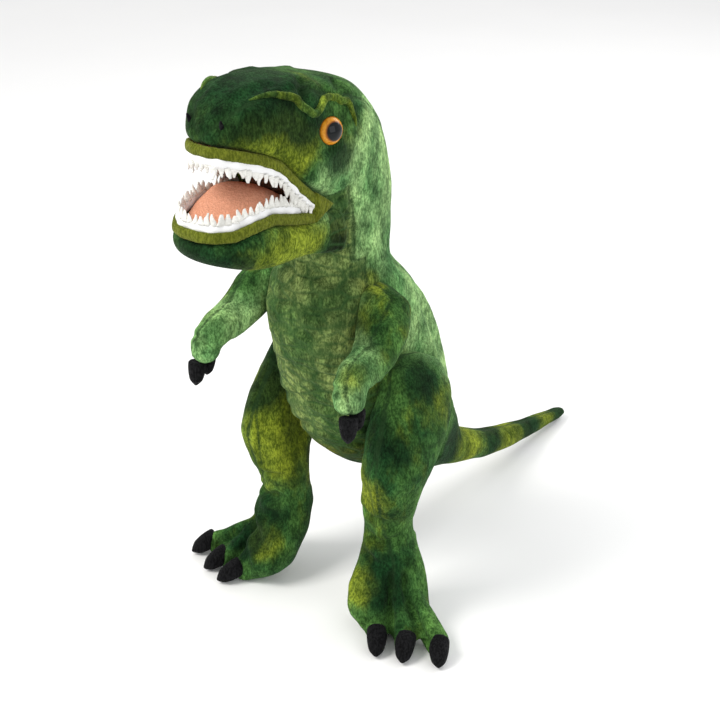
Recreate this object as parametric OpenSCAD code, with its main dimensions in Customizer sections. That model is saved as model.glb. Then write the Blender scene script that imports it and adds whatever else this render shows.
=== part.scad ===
// Stuffed tyrannosaur standing on two feet, sewn from pile fabric over fibre filling.
// It faces -Y, its own left is +X, and the soles stand on Z = 0.

/* [Overall] */
// Height from the soles to the top of the head
toy_height = 526; // [440:1:630]
// Width of the body between the flat seams where the limbs are sewn on
body_width = 104; // [86:1:126]
// Width of the head across the cheeks
head_width = 100; // [84:1:120]

/* [Fabric] */
// Thickness of the pile fabric, pile included
cover_t = 2.6; // [1.6:0.1:3.4]
// Slack between the cover and its filling
fill_gap = 0.4; // [0.3:0.1:1]
// Clearance left between two bodies at a stuffed joint
joint_gap = 1.5; // [1.2:0.1:3]

/* [Mouth] */
// Height of the lip bands
lip_h = 8; // [6:0.5:10]
// Thickness of the felt that the teeth are cut from
felt_t = 1.5; // [1:0.1:2]
// Height of the longest upper teeth
upper_tooth_h = 13; // [10:0.5:16]
// Height of the longest lower teeth
lower_tooth_h = 10; // [8:0.5:12]
// Height of the tongue pad over the jaw
tongue_h = 9; // [7:0.5:11]

/* [Eyes] */
// Diameter of the amber eye dome
eye_d = 22; // [18:0.5:26]
// Diameter of the eye's plastic stem
eye_stem_d = 5; // [4:0.5:7]
// Length of the stem behind the cover
eye_stem_len = 9; // [7:0.5:11]
// Diameter of the lock washer behind the cover
eye_washer_d = 16; // [13:0.5:20]

/* [Limbs] */
// Diameter of the arm at the shoulder
arm_root_d = 46; // [38:1:54]
// Diameter of the forearm
forearm_d = 27; // [23:1:31]
// Diameter of the ankle
ankle_d = 40; // [34:1:46]
// Diameter of a toe
toe_d = 27; // [23:1:30]
// Length of a foot claw
claw_len = 26; // [21:1:31]
// Diameter of a foot claw where it leaves the toe
claw_d = 17; // [14:0.5:20]
// Diameter of the tail where it leaves the rump
tail_root_d = 60; // [52:1:68]

/* [Hidden] */

// Every section and centre below is in the proportions of a toy this tall and this wide.
drawn_height = 526;
drawn_body_width = 104;
drawn_head_width = 100;
k = toy_height / drawn_height;
body_k = body_width / drawn_body_width;
head_k = head_width / drawn_head_width;

// Y of the snout and of the tail's tip, from between the feet, and the shift that centres the toy.
snout_y = -186;
tail_tip_y = 428;
centre_y = -k * (snout_y + tail_tip_y) / 2;

sides = 24;             // points round a body section
flank_x = body_width / 2;
limb_x = flank_x + 0.5; // limbs start this far out, just clear of the body's flat sides
fill_t = cover_t + fill_gap;
amber = [0.85, 0.50, 0.05];
claw_black = [0.05, 0.05, 0.06];
leaf = [0.26, 0.45, 0.22];
moss = [0.20, 0.38, 0.18];
sage = [0.45, 0.55, 0.33];
olive = [0.45, 0.47, 0.05];
salmon = [0.90, 0.60, 0.48];
fibre = [0.93, 0.93, 0.90];
felt = [0.97, 0.97, 0.95];

// ---- Section and mesh helpers ----

function unit(v) = v / norm(v);

// A power that keeps its sign, to square off an ellipse when e is under 1.
function spow(v, e) = sign(v) * pow(abs(v), e);

function flat_list(lists) = [for (one = lists) for (item = one) item];

// A body section across the mid plane. row = [half width, front y, z, back y, z, flattest front].
// Point 0 is at the front or underside; the points run round by +X.
function body_ring(row, inset, width_k, x_limit, e = 0.86) =
    let (
        front = [row[1], row[2]] * k,
        back = [row[3], row[4]] * k,
        mid = (front + back) / 2,
        reach = norm(front - back) / 2,
        along = (front - back) / (2 * reach),
        half = row[0] * width_k * k
    )
    [for (i = [0 : sides - 1])
        let (
            turn = 360 * i / sides,
            x = (half - inset) * spow(sin(turn), e),
            free = (reach - inset) * spow(cos(turn), e),
            low = is_undef(row[5]) ? free : min(free, row[5] * reach - inset),
            yz = mid + along * low
        )
        [max(-x_limit + inset, min(x_limit - inset, x)), yz[0], yz[1]]];

// A section of a limb round c, in the plane of side and depth. Point 0 is on the depth side.
function limb_ring(c, side, depth, r_side, r_depth) =
    [for (i = [0 : sides - 1])
        let (turn = 360 * i / sides)
        c + side * r_side * sin(turn) + depth * r_depth * cos(turn)];

function dot_ring(p) = [for (i = [0 : sides - 1]) p];

// Rings that run over a sphere from a section's rim to a pole: a stuffed joint's face.
cap_steps = 3;
function cap_rings(rim, centre, r, pole) =
    [for (s = [0 : cap_steps])
        let (f = s / cap_steps)
        s == cap_steps ? dot_ring(centre + r * pole)
                       : [for (p = rim) centre + r * unit((1 - f) * unit(p - centre) + f * pole)]];

function clamp_low(ring, x_min, z_min) = [for (p = ring) [max(p[0], x_min), p[1], max(p[2], z_min)]];

function is_dot(ring) = norm(ring[0] - ring[floor(len(ring) / 2)]) < 0.001;
function corner(rings, j, i) = len(rings[0]) * j + (is_dot(rings[j]) ? 0 : i % len(rings[0]));

// Two triangles of a quad, less one that has shrunk to a line.
function quad(a, b, c, d) =
    [for (f = [[a, b, c], [a, c, d]]) if (f[0] != f[1] && f[1] != f[2] && f[2] != f[0]) f];

// A closed solid from rings that end in a point at both ends.
module closed_loft(rings) {
    n = len(rings[0]);
    faces = flat_list([for (j = [0 : len(rings) - 2], i = [0 : n - 1])
        quad(corner(rings, j, i), corner(rings, j, i + 1), corner(rings, j + 1, i + 1),
             corner(rings, j + 1, i))]);
    polyhedron(flat_list(rings), faces, convexity = 6);
}

// A panel of cover between an outer and an inner skin, over columns i0 to i1 and rings j0 to j1.
module cover_panel(outer, inner, i0, i1, j0, j1) {
    n = len(outer[0]);
    step = n * len(outer);
    from = i0 + n;
    to = i1 + n;
    out_faces = [for (j = [j0 : j1 - 1], i = [from : to - 1])
        quad(corner(outer, j, i), corner(outer, j, i + 1), corner(outer, j + 1, i + 1),
             corner(outer, j + 1, i))];
    in_faces = [for (j = [j0 : j1 - 1], i = [from : to - 1])
        quad(step + corner(inner, j, i), step + corner(inner, j + 1, i),
             step + corner(inner, j + 1, i + 1), step + corner(inner, j, i + 1))];
    start_seam = [for (j = [j0 : j1 - 1])
        quad(corner(outer, j, from), corner(outer, j + 1, from),
             step + corner(inner, j + 1, from), step + corner(inner, j, from))];
    end_seam = [for (j = [j0 : j1 - 1])
        quad(corner(outer, j, to), step + corner(inner, j, to),
             step + corner(inner, j + 1, to), corner(outer, j + 1, to))];
    first_edge = is_dot(outer[j0]) ? [] : [for (i = [from : to - 1])
        quad(corner(outer, j0, i), step + corner(inner, j0, i),
             step + corner(inner, j0, i + 1), corner(outer, j0, i + 1))];
    last_edge = is_dot(outer[j1]) ? [] : [for (i = [from : to - 1])
        quad(corner(outer, j1, i), corner(outer, j1, i + 1),
             step + corner(inner, j1, i + 1), step + corner(inner, j1, i))];
    polyhedron(
        concat(flat_list(outer), flat_list(inner)),
        flat_list(concat(out_faces, in_faces, start_seam, end_seam, first_edge, last_edge)),
        convexity = 8
    );
}

// Puts a node where the toy stands, centred over its own box.
module stand() {
    translate([0, centre_y, 0]) children();
}

// ---- Stuffed joints ----

neck_pivot = [0, -7, 330] * k;
neck_r = 55 * k;
tail_axis = unit([0, 72, -38]);
tail_rim = [0, 122, 106] * k;
tail_pivot_depth = 20 * k; // how far inside the rump the tail turns
tail_pivot = tail_rim - tail_axis * tail_pivot_depth;
tail_up = [0, -tail_axis[2], tail_axis[1]];
tail_root_r = tail_root_d / 2 * k;
tail_ball_r = norm([tail_root_r, tail_pivot_depth]);

// ---- Torso ----

// Sections from the neck down to the hips: [half width, front y, z, back y, z]
torso_rows = [
    [50, -57, 339, 39, 343],
    [56, -65, 316, 58, 326],
    [59, -67, 288, 84, 299],
    [61, -58, 252, 103, 268],
    [62, -50, 218, 117, 236],
    [61, -36, 186, 127, 207],
    [57, -20, 160, 136, 181],
    [49, 6, 137, 143, 163],
    [41, 42, 116, 146, 150]
];
neck_row = [46, -53, 361, 37, 361];
// Between the hips and the tail's root: [distance before the rim, share of the root's radius]
rump_stops = [[24, 1.16], [10, 1.03]];
belly_half = 5; // the belly panel reaches this many columns to each side of the middle

function tail_ring(c, r, inset) =
    limb_ring(c, [1, 0, 0], -tail_up, r - inset, r - inset);

function torso_grid(inset) =
    let (
        neck_rim = body_ring(neck_row, inset, body_k, flank_x),
        rump_rim = tail_ring(tail_rim, tail_root_r, inset)
    )
    concat(
        [for (s = [cap_steps : -1 : 0]) cap_rings(neck_rim, neck_pivot, neck_r - inset, [0, 0, 1])[s]],
        [for (row = torso_rows) body_ring(row, inset, body_k, flank_x)],
        [for (stop = rump_stops) tail_ring(tail_rim - tail_axis * stop[0] * k, tail_root_r * stop[1], inset)],
        cap_rings(rump_rim, tail_pivot, tail_ball_r - inset, tail_axis)
    );

module torso_panel(i0, i1) {
    outer = torso_grid(0);
    cover_panel(outer, torso_grid(cover_t), i0, i1, 0, len(outer) - 1);
}

module torso_left_panel() {
    color(leaf) stand() torso_panel(belly_half, sides / 2);
}

module torso_right_panel() {
    color(moss) stand() torso_panel(sides / 2, sides - belly_half);
}

module belly_panel() {
    color(sage) stand() torso_panel(-belly_half, belly_half);
}

module torso_filling() {
    color(fibre) stand() closed_loft(torso_grid(fill_t));
}

// ---- Head ----

// The line of the upper mouth, from the front to the corner: [half width, y, z]
upper_mouth = [
    [8, -166, 477],
    [19, -160, 476],
    [29, -149, 473],
    [34, -134, 468],
    [38, -116, 459],
    [41, -96, 438],
    [43, -80, 424]
];
// Top of the head over each point of that line: [half width, y, z]
head_top = [
    [10, -162, 500],
    [21, -155, 510],
    [33, -142, 520],
    [40, -124, 526],
    [43, -102, 526],
    [47, -76, 524],
    [49, -47, 517]
];
// Sections behind the mouth, turning down into the neck
nape_rows = [
    [50, -57, 408, -4, 504],
    [49, -55, 392, 25, 471],
    [48, -54, 380, 36, 430],
    [47, -53, 370, 37, 396]
];
mouth_flat = 0.61; // the underside of the mouth sections is cut flat at this share of their depth
palate_half = 4;
gusset_half = 3;
mouth_rings = len(upper_mouth) + 1;

// The mouth line is the flat of each section, so its full depth reaches below it.
function head_row(j) =
    let (
        low = [upper_mouth[j][1], upper_mouth[j][2] + lip_h / k],
        top = [head_top[j][1], head_top[j][2]],
        full = top + (low - top) * 2 / (1 + mouth_flat)
    )
    [head_top[j][0], full[0], full[1], top[0], top[1], mouth_flat];

snout_tip = [0, -169, 491] * k;

function head_grid(inset) =
    let (rim = body_ring(neck_row, inset, head_k, head_width))
    concat(
        [dot_ring(snout_tip + [0, inset, 0])],
        [for (j = [0 : len(upper_mouth) - 1]) body_ring(head_row(j), inset, head_k, head_width, 0.7)],
        [for (row = nape_rows) body_ring(row, inset, head_k, head_width)],
        cap_rings(rim, neck_pivot, neck_r + joint_gap + inset, [0, 0, 1])
    );

module head_panel(i0, i1, j0, j1) {
    cover_panel(head_grid(0), head_grid(cover_t), i0, i1, j0, j1);
}

head_last = len(upper_mouth) + len(nape_rows) + cap_steps + 1;

// The eye's place on the cheek and the way it looks, on the left side
eye_centre = [47 * head_k, -68, 481] * k;
eye_yaw = 14;
eye_tilt = 6;
eye_base_sink = 1.3; // the eye presses this far into the pile
eye_slack = 0.3;     // round the eye, its stem and its washer
eye_reach = 12;      // the eye's socket is cut this far out of the cover

module at_eye() {
    translate(eye_centre) rotate([0, 0, -eye_yaw]) rotate([0, 90 - eye_tilt, 0]) children();
}

module eye_room() {
    at_eye() {
        translate([0, 0, -eye_base_sink]) cylinder(d = eye_d + 2 * eye_slack, h = eye_reach, $fn = 48);
        translate([0, 0, -eye_reach]) cylinder(d = eye_stem_d + eye_slack, h = 2 * eye_reach, $fn = 32);
    }
}

module head_side_panel() {
    difference() {
        head_panel(palate_half, sides / 2 - gusset_half, 0, head_last);
        eye_room();
    }
}

module head_left_panel() {
    color(leaf) stand() head_side_panel();
}

module head_right_panel() {
    color(moss) stand() mirror([1, 0, 0]) head_side_panel();
}

module crown_gusset() {
    color(moss) stand() head_panel(sides / 2 - gusset_half, sides / 2 + gusset_half, 0, head_last);
}

module palate() {
    color(salmon) stand() head_panel(-palate_half, palate_half, 0, mouth_rings);
}

module throat_panel() {
    color(sage) stand() head_panel(-palate_half, palate_half, mouth_rings, head_last);
}

module washer_room() {
    at_eye() translate([0, 0, -eye_reach])
        cylinder(d = max(eye_d, eye_washer_d) + 2 * eye_slack, h = 2 * eye_reach, $fn = 48);
}

module head_filling() {
    color(fibre) stand() difference() {
        closed_loft(head_grid(fill_t));
        washer_room();
        mirror([1, 0, 0]) washer_room();
    }
}

// ---- Lips and teeth ----

strip_gap = 0.3; // between a strip and the panel that it is sewn under
teeth_gap = 1.2; // between the felt's straight edge and the sloping panel
lip_t = 3;

// The whole U round the mouth, from the left corner by the front to the right corner.
function mouth_path(line) =
    let (
        last = len(line) - 1,
        left = [for (j = [last : -1 : 0]) [line[j][0] * head_k, line[j][1], line[j][2]] * k]
    )
    concat(left, [for (j = [last : -1 : 0]) [-left[j][0], left[j][1], left[j][2]]]);

// Direction into the mouth at each point of the U, in plan.
function plan_normal(path, j) =
    let (
        a = path[max(j - 1, 0)],
        b = path[min(j + 1, len(path) - 1)],
        run = unit([b[0] - a[0], b[1] - a[1]])
    )
    [run[1], -run[0], 0];

// A strip that stands on edge along a path. tops and bottoms are Z offsets for each point.
module edge_strip(path, thick, tops, bottoms) {
    n = len(path);
    rings = [for (j = [0 : n - 1])
        let (side = plan_normal(path, j) * thick / 2)
        [path[j] + side + [0, 0, tops[j]], path[j] + side + [0, 0, bottoms[j]],
         path[j] - side + [0, 0, bottoms[j]], path[j] - side + [0, 0, tops[j]]]];
    walls = flat_list([for (j = [0 : n - 2], i = [0 : 3])
        quad(4 * j + i, 4 * (j + 1) + i, 4 * (j + 1) + (i + 1) % 4, 4 * j + (i + 1) % 4)]);
    ends = [[0, 1, 2, 3], [4 * n - 1, 4 * n - 2, 4 * n - 3, 4 * n - 4]];
    polyhedron(flat_list(rings), concat(walls, ends), convexity = 10);
}

teeth_per_step = 3; // teeth between two points of the mouth line

// The path with points added between each pair, so that every tooth has a root and a tip.
function toothed_path(path) =
    concat(
        flat_list([for (j = [0 : len(path) - 2])
            [for (s = [0 : 2 * teeth_per_step - 1])
                path[j] + (path[j + 1] - path[j]) * s / (2 * teeth_per_step)]]),
        [path[len(path) - 1]]
    );

// Teeth shorten towards the corners of the mouth: 0 at a corner, 1 at the front.
function tooth_share(path, j) = min(1, 0.3 + 1.6 * min(j, len(path) - 1 - j) / len(path));

module teeth_strip(line, inward, h, up) {
    lip = toothed_path(mouth_path(line));
    path = [for (j = [0 : len(lip) - 1]) lip[j] + plan_normal(lip, j) * inward];
    root = 0.35 * h;
    flip = up ? -1 : 1;
    edge = [for (j = [0 : len(path) - 1]) -flip * teeth_gap];
    point = [for (j = [0 : len(path) - 1])
        -flip * tooth_share(path, j) * (j % 2 == 0 ? root : h)];
    edge_strip(path, felt_t, up ? point : edge, up ? edge : point);
}

module lip_strip(line, up) {
    path = mouth_path(line);
    full = [for (p = path) up ? lip_h - strip_gap : -strip_gap];
    none = [for (p = path) up ? strip_gap : strip_gap - lip_h];
    edge_strip(path, lip_t, full, none);
}

function raised(line, dz) = [for (p = line) [p[0], p[1], p[2] + dz / k]];

module upper_lip() {
    color(olive) stand() lip_strip(raised(upper_mouth, lip_h), false);
}

module upper_teeth() {
    color(felt) stand() teeth_strip(raised(upper_mouth, lip_h), lip_t, lip_h + upper_tooth_h, false);
}

// ---- Brow ridges and nostrils ----

// The folded seam from the side of the snout over the eye, on the left side
brow_points = [
    [27, -141, 515],
    [32, -129, 520],
    [37, -114, 520],
    [42, -97, 510],
    [46, -82, 499],
    [47, -66, 505],
    [47, -48, 503],
    [45, -30, 493],
    [43, -18, 477]
];
brow_r = 4;
brow_sides = 10;
tube_end = 0.6; // a tube narrows to this share at its ends, and its point stands off as far

function path_axis(points, j) =
    unit(points[min(j + 1, len(points) - 1)] - points[max(j - 1, 0)]);

function up_axis(axis) = unit([0, 0, 1] - axis * axis[2]);

// A tube along points with its own radius at each, closed to a point at both ends.
function tube_rings(points, radii, n) =
    concat(
        [[for (i = [0 : n - 1]) points[0] - path_axis(points, 0) * radii[0] * tube_end]],
        [for (j = [0 : len(points) - 1])
            let (axis = path_axis(points, j), up = up_axis(axis), side = cross(up, axis))
            [for (i = [0 : n - 1])
                points[j] + radii[j] * (side * sin(360 * i / n) + up * cos(360 * i / n))]],
        [[for (i = [0 : n - 1])
            points[len(points) - 1] + path_axis(points, len(points) - 1) * radii[len(points) - 1] * tube_end]]
    );

module brow_ridge() {
    points = [for (p = brow_points) [p[0] * head_k, p[1], p[2]] * k];
    radii = [for (j = [0 : len(points) - 1]) brow_r * (j == 0 || j == len(points) - 1 ? tube_end : 1)];
    difference() {
        closed_loft(tube_rings(points, radii, brow_sides));
        closed_loft(head_grid(0));
        at_eye() translate([0, 0, -eye_base_sink])
            cylinder(d = eye_d + 4 * eye_slack, h = eye_reach, $fn = 48);
    }
}

module brow_ridge_left() {
    color(sage) stand() brow_ridge();
}

module brow_ridge_right() {
    color(sage) stand() mirror([1, 0, 0]) brow_ridge();
}

nostril_centre = [16, -159, 501];
nostril_len = 10;
nostril_d = 4;
nostril_gap = 0.3; // keeps the sewn patch off the cover's curved face

module nostril() {
    translate([nostril_centre[0] * head_k, nostril_centre[1], nostril_centre[2]] * k)
        rotate([110, 0, 25])
            closed_loft(tube_rings([[0, -nostril_len / 2, 0], [0, 0, 0], [0, nostril_len / 2, 0]],
                                   [nostril_d / 4, nostril_d / 2, nostril_d / 4], 8));
}

module nostrils() {
    color(claw_black) stand() difference() {
        union() {
            nostril();
            mirror([1, 0, 0]) nostril();
        }
        closed_loft(head_grid(-nostril_gap));
    }
}

// ---- Eyes ----

eye_dome_h = 7;
washer_t = 1.4;
washer_depth = eye_base_sink + cover_t + 1.2; // the washer lies behind the curved cover

module eye_dome() {
    dome_r = (pow(eye_d / 2, 2) + pow(eye_dome_h, 2)) / (2 * eye_dome_h);
    at_eye() translate([0, 0, -eye_base_sink + eye_slack / 3]) {
        intersection() {
            translate([0, 0, eye_dome_h - dome_r]) sphere(r = dome_r, $fn = 64);
            cylinder(d = eye_d, h = eye_dome_h, $fn = 64);
        }
        translate([0, 0, -eye_stem_len]) cylinder(d = eye_stem_d, h = eye_stem_len + 1, $fn = 32);
    }
}

module eye_washer() {
    at_eye() translate([0, 0, -washer_depth - washer_t]) difference() {
        cylinder(d = eye_washer_d, h = washer_t, $fn = 48);
        translate([0, 0, -1]) cylinder(d = eye_stem_d + eye_slack, h = washer_t + 2, $fn = 32);
    }
}

module eye_left() {
    color(amber) stand() eye_dome();
}

module eye_right() {
    color(amber) stand() mirror([1, 0, 0]) eye_dome();
}

module eye_washer_left() {
    color(felt) stand() eye_washer();
}

module eye_washer_right() {
    color(felt) stand() mirror([1, 0, 0]) eye_washer();
}

// ---- Lower jaw ----

// The line of the lower mouth, from the front to the corner: [half width, y, z]
lower_mouth = [
    [9, -182, 424],
    [21, -177, 424],
    [31, -165, 424],
    [36, -147, 427],
    [38, -126, 428],
    [40, -104, 422],
    [41, -80, 417]
];
// Underside of the jaw below each point of that line: [half width, y, z]
jaw_under = [
    [13, -181, 402],
    [26, -174, 396],
    [36, -158, 388],
    [42, -138, 381],
    [44, -115, 377],
    [45, -92, 376],
    [45, -64, 379]
];
jaw_back = [0, -68, 396] * k;

// The lining is the flat of each section, so its full depth reaches above it.
function jaw_row(j) =
    let (
        top = [lower_mouth[j][1], lower_mouth[j][2] - lip_h / k],
        low = [jaw_under[j][1], jaw_under[j][2]],
        full = low + (top - low) * 2 / (1 + mouth_flat)
    )
    [jaw_under[j][0], full[0], full[1], low[0], low[1], mouth_flat];

function jaw_grid(inset) =
    let (
        last = body_ring(jaw_row(len(lower_mouth) - 1), inset, head_k, head_width, 0.7),
        back_shift = [0, -inset, 0]
    )
    concat(
        [dot_ring(jaw_back + back_shift)],
        [[for (p = last) p + back_shift]],
        [for (j = [len(lower_mouth) - 2 : -1 : 0]) body_ring(jaw_row(j), inset, head_k, head_width, 0.7)],
        [dot_ring([0, snout_y, 409] * k - back_shift)]
    );

lining_half = 4;
jaw_last = len(lower_mouth) + 1;

module jaw_cover() {
    color(leaf) stand()
        cover_panel(jaw_grid(0), jaw_grid(cover_t), lining_half, sides - lining_half, 0, jaw_last);
}

module mouth_lining() {
    color(salmon) stand() cover_panel(jaw_grid(0), jaw_grid(cover_t), -lining_half, lining_half, 0, jaw_last);
}

module jaw_filling() {
    color(fibre) stand() closed_loft(jaw_grid(fill_t));
}

module lower_lip() {
    color(olive) stand() lip_strip(raised(lower_mouth, -lip_h), true);
}

module lower_teeth() {
    color(felt) stand() teeth_strip(raised(lower_mouth, -lip_h), lip_t, lip_h + lower_tooth_h, true);
}

tongue_margin = 6; // between the tongue's sides and the lip line
tongue_lift = 1.2; // off the lining
tongue_columns = 6;

// Cross sections of the pad, flat below and arched above; it starts behind the front teeth.
module tongue() {
    line = raised(lower_mouth, -lip_h);
    last = len(line) - 1;
    rows = [for (j = [0 : last])
        let (
            half = line[j][0] * head_k * k - tongue_margin,
            y = line[j][1] * k + tongue_margin * (1 - j / last),
            z = line[j][2] * k + tongue_lift,
            rise = tongue_h * (j == 0 ? 0.35 : j == last ? 0.5 : 1)
        )
        concat(
            [for (s = [0 : tongue_columns])
                let (turn = 180 * s / tongue_columns)
                [half * cos(turn), y, z + 1 + rise * sin(turn)]],
            [[-half, y, z], [half, y, z]]
        )];
    n = len(rows[0]);
    walls = flat_list([for (j = [0 : len(rows) - 2], i = [0 : n - 1])
        quad(n * j + i, n * j + (i + 1) % n, n * (j + 1) + (i + 1) % n, n * (j + 1) + i)]);
    ends = [[for (i = [n - 1 : -1 : 0]) i], [for (i = [0 : n - 1]) n * (len(rows) - 1) + i]];
    color(salmon) stand() polyhedron(flat_list(rows), concat(walls, ends), convexity = 4);
}

// ---- Arms ----

// Centres down the left arm from its flat seam to the hand: [x past the flank, y, z, share of d]
arm_points = [
    [0, -18, 317, 1],
    [14, -20, 315, 0.94],
    [20, -32, 304, 0.88],
    [22, -46, 291, 0.82],
    [23, -62, 285, 0.76],
    [23, -78, 283, 0.7],
    [26, -89, 272, 0.64],
    [28, -91, 260, 0.6]
];
hand_point = [29, -92, 251];

function arm_centre(p) = [limb_x + p[0] * k, p[1] * k, p[2] * k];

function arm_radius(j) =
    let (
        last = len(arm_points) - 1,
        near = (arm_root_d - forearm_d) / 2,
        f = (arm_points[j][3] - arm_points[last][3]) / (1 - arm_points[last][3])
    )
    (forearm_d / 2 + near * f) * k;

function arm_grid(inset) =
    let (
        centres = [for (p = arm_points) arm_centre(p)],
        path = concat(centres, [arm_centre(hand_point)]),
        root = centres[0] + [inset, 0, 0],
        tip = arm_centre(hand_point) - path_axis(path, len(path) - 1) * inset
    )
    concat(
        [dot_ring(root)],
        [for (j = [0 : len(centres) - 1])
            let (
                axis = j == 0 ? [1, 0, 0] : path_axis(path, j),
                up = up_axis(axis),
                c = j == 0 ? root : centres[j],
                r = arm_radius(j) - inset
            )
            clamp_low(limb_ring(c, cross(up, axis), up, r, r), limb_x + inset, 0)],
        [dot_ring(tip)]
    );

module arm_panel(i0, i1) {
    outer = arm_grid(0);
    cover_panel(outer, arm_grid(cover_t), i0, i1, 0, len(outer) - 1);
}

hand_claw_len = 20;
hand_claw_d = 15;
claw_hook = 0.12;  // a claw's tip drops by this share of its length
claw_round = 0.96; // and its sections shrink by this much of a full dome

// A claw that leans along run and hooks down: rings shrink from the base to the tip.
claw_sides = 12;
claw_steps = 4;

function claw_rings(base, run, len, d) =
    concat(
        [[for (i = [0 : claw_sides - 1]) base]],
        [for (s = [0 : claw_steps - 1])
            let (
                f = s / claw_steps,
                c = base + run * len * f - [0, 0, len * claw_hook * f * f],
                up = up_axis(run),
                side = cross(up, run),
                r = d / 2 * sqrt(1 - f * f * claw_round)
            )
            [for (i = [0 : claw_sides - 1])
                c + r * (side * sin(360 * i / claw_sides) + up * cos(360 * i / claw_sides))]],
        [[for (i = [0 : claw_sides - 1]) base + run * len - [0, 0, len * claw_hook]]]
    );

// Claws of the left hand: [x past the flank, y, z] of the base, size share
front_claw = [31, -96, 254, 1];
rear_claw = [30, -83, 256, 0.85];
hand_claw_run = unit([0.06, -0.12, -0.95]);

module claw_of_hand(at) {
    size = at[3] * k;
    closed_loft(claw_rings(arm_centre(at), hand_claw_run, hand_claw_len * size, hand_claw_d * size));
}

module hand_claw(at) {
    difference() {
        claw_of_hand(at);
        closed_loft(arm_grid(0));
        if (at == rear_claw) claw_of_hand(front_claw);
    }
}

module arm_left_outer_panel() {
    color(leaf) stand() arm_panel(0, sides / 2);
}

module arm_left_inner_panel() {
    color(moss) stand() arm_panel(sides / 2, sides);
}

module arm_left_filling() {
    color(fibre) stand() closed_loft(arm_grid(fill_t));
}

module hand_claw_left_front() {
    color(claw_black) stand() hand_claw(front_claw);
}

module hand_claw_left_rear() {
    color(claw_black) stand() hand_claw(rear_claw);
}

module arm_right_outer_panel() {
    color(leaf) stand() mirror([1, 0, 0]) arm_panel(0, sides / 2);
}

module arm_right_inner_panel() {
    color(moss) stand() mirror([1, 0, 0]) arm_panel(sides / 2, sides);
}

module arm_right_filling() {
    color(fibre) stand() mirror([1, 0, 0]) closed_loft(arm_grid(fill_t));
}

module hand_claw_right_front() {
    color(claw_black) stand() mirror([1, 0, 0]) hand_claw(front_claw);
}

module hand_claw_right_rear() {
    color(claw_black) stand() mirror([1, 0, 0]) hand_claw(rear_claw);
}

// ---- Legs ----

// Sections down the left leg into the foot:
// [x past the flank, y, z, yaw, tilt, side radius, depth radius, held off the body]
leg_rows = [
    [5, 14, 262, 0, 0, 0, 0, 1],
    [8, 14, 257, 0, 0, 11, 24, 1],
    [11, 23, 242, 0, 0, 18, 38, 1],
    [15, 21, 218, 0, 0, 24, 48, 1],
    [18, 10, 190, 0, 0, 28, 51, 1],
    [19, -5, 162, 4, 0, 28, 43, 1],
    [16, -12, 132, 10, 0, 24, 29, 0],
    [11, -9, 104, 18, 5, 20, 21, 0],
    [12, -6, 82, 28, 10, 22, 24, 0],
    [16, -10, 60, 36, 34, 28, 27, 0],
    [20, -19, 40, 42, 58, 35, 30, 0],
    [27, -28, 26, 42, 90, 36, 29, 0],
    [35, -37, 21, 42, 90, 32, 24, 0],
    [38, -40, 16, 42, 90, 0, 0, 0]
];
drawn_ankle_r = 20;
leg_taper_from = 6; // rows from here down follow the ankle's diameter

function leg_ring(j, inset) =
    let (
        row = leg_rows[j],
        last = len(leg_rows) - 1,
        ahead = [sin(row[3]), -cos(row[3]), 0],
        side = [cos(row[3]), sin(row[3]), 0],
        axis = ahead * sin(row[4]) - [0, 0, cos(row[4])],
        depth = ahead * cos(row[4]) + [0, 0, sin(row[4])],
        swell = (j == leg_taper_from + 1 || j == leg_taper_from + 2) ? ankle_d / 2 / drawn_ankle_r : 1,
        c = [limb_x + row[0] * k, row[1] * k, row[2] * k],
        x_min = row[7] == 1 ? limb_x + inset : -body_width
    )
    row[5] == 0
        ? dot_ring(c + axis * (j == 0 ? inset : j == last ? -inset : 0))
        : clamp_low(limb_ring(c, side, depth, row[5] * k * swell - inset, row[6] * k * swell - inset),
                    x_min, inset);

function leg_grid(inset) = [for (j = [0 : len(leg_rows) - 1]) leg_ring(j, inset)];

module leg_panel(i0, i1) {
    outer = leg_grid(0);
    cover_panel(outer, leg_grid(cover_t), i0, i1, 0, len(outer) - 1);
}

// Toes leave the ankle at these yaws, and reach these distances from it before the claw
toe_yaw = [22, 51, 72];
toe_reach = [51, 60, 78];
claw_yaw = [34, 27, 34];
toe_origin = [12, -9];
// Sections of a toe: [distance before its end, share of its radius, z]
toe_stops = [[44, 0.8, 30], [28, 0.95, 20], [14, 1, 12.5], [5, 0.95, 11.5], [0, 0.72, 11]];
toe_sides = 16;
claw_z = 16;
claw_lift = 0.5;  // claws stay this far off the floor
claw_sink = 3;    // a claw starts this far back in its toe
claw_drop = 0.35; // and points down by this share of its run

function toe_direction(n) = [sin(toe_yaw[n]), -cos(toe_yaw[n]), 0];
function toe_at(n, reach, z) = [limb_x + toe_origin[0] * k, toe_origin[1] * k, z] + toe_direction(n) * reach;

function toe_rings(n) =
    let (
        r = toe_d / 2 * k,
        side = cross([0, 0, 1], toe_direction(n)),
        centres = [for (stop = toe_stops) toe_at(n, (toe_reach[n] - stop[0]) * k, stop[2] * k)]
    )
    concat(
        [[for (i = [0 : toe_sides - 1]) centres[0]]],
        [for (j = [0 : len(toe_stops) - 1])
            clamp_low([for (i = [0 : toe_sides - 1])
                let (turn = 360 * i / toe_sides)
                centres[j] + r * toe_stops[j][1] * (side * sin(turn) + [0, 0, cos(turn)])], -body_width, 0)],
        [[for (i = [0 : toe_sides - 1]) centres[len(centres) - 1]]]
    );

module toe(n) {
    difference() {
        closed_loft(toe_rings(n));
        closed_loft(leg_grid(0));
        if (n == 0 || n == 2) closed_loft(toe_rings(1));
    }
}

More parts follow.
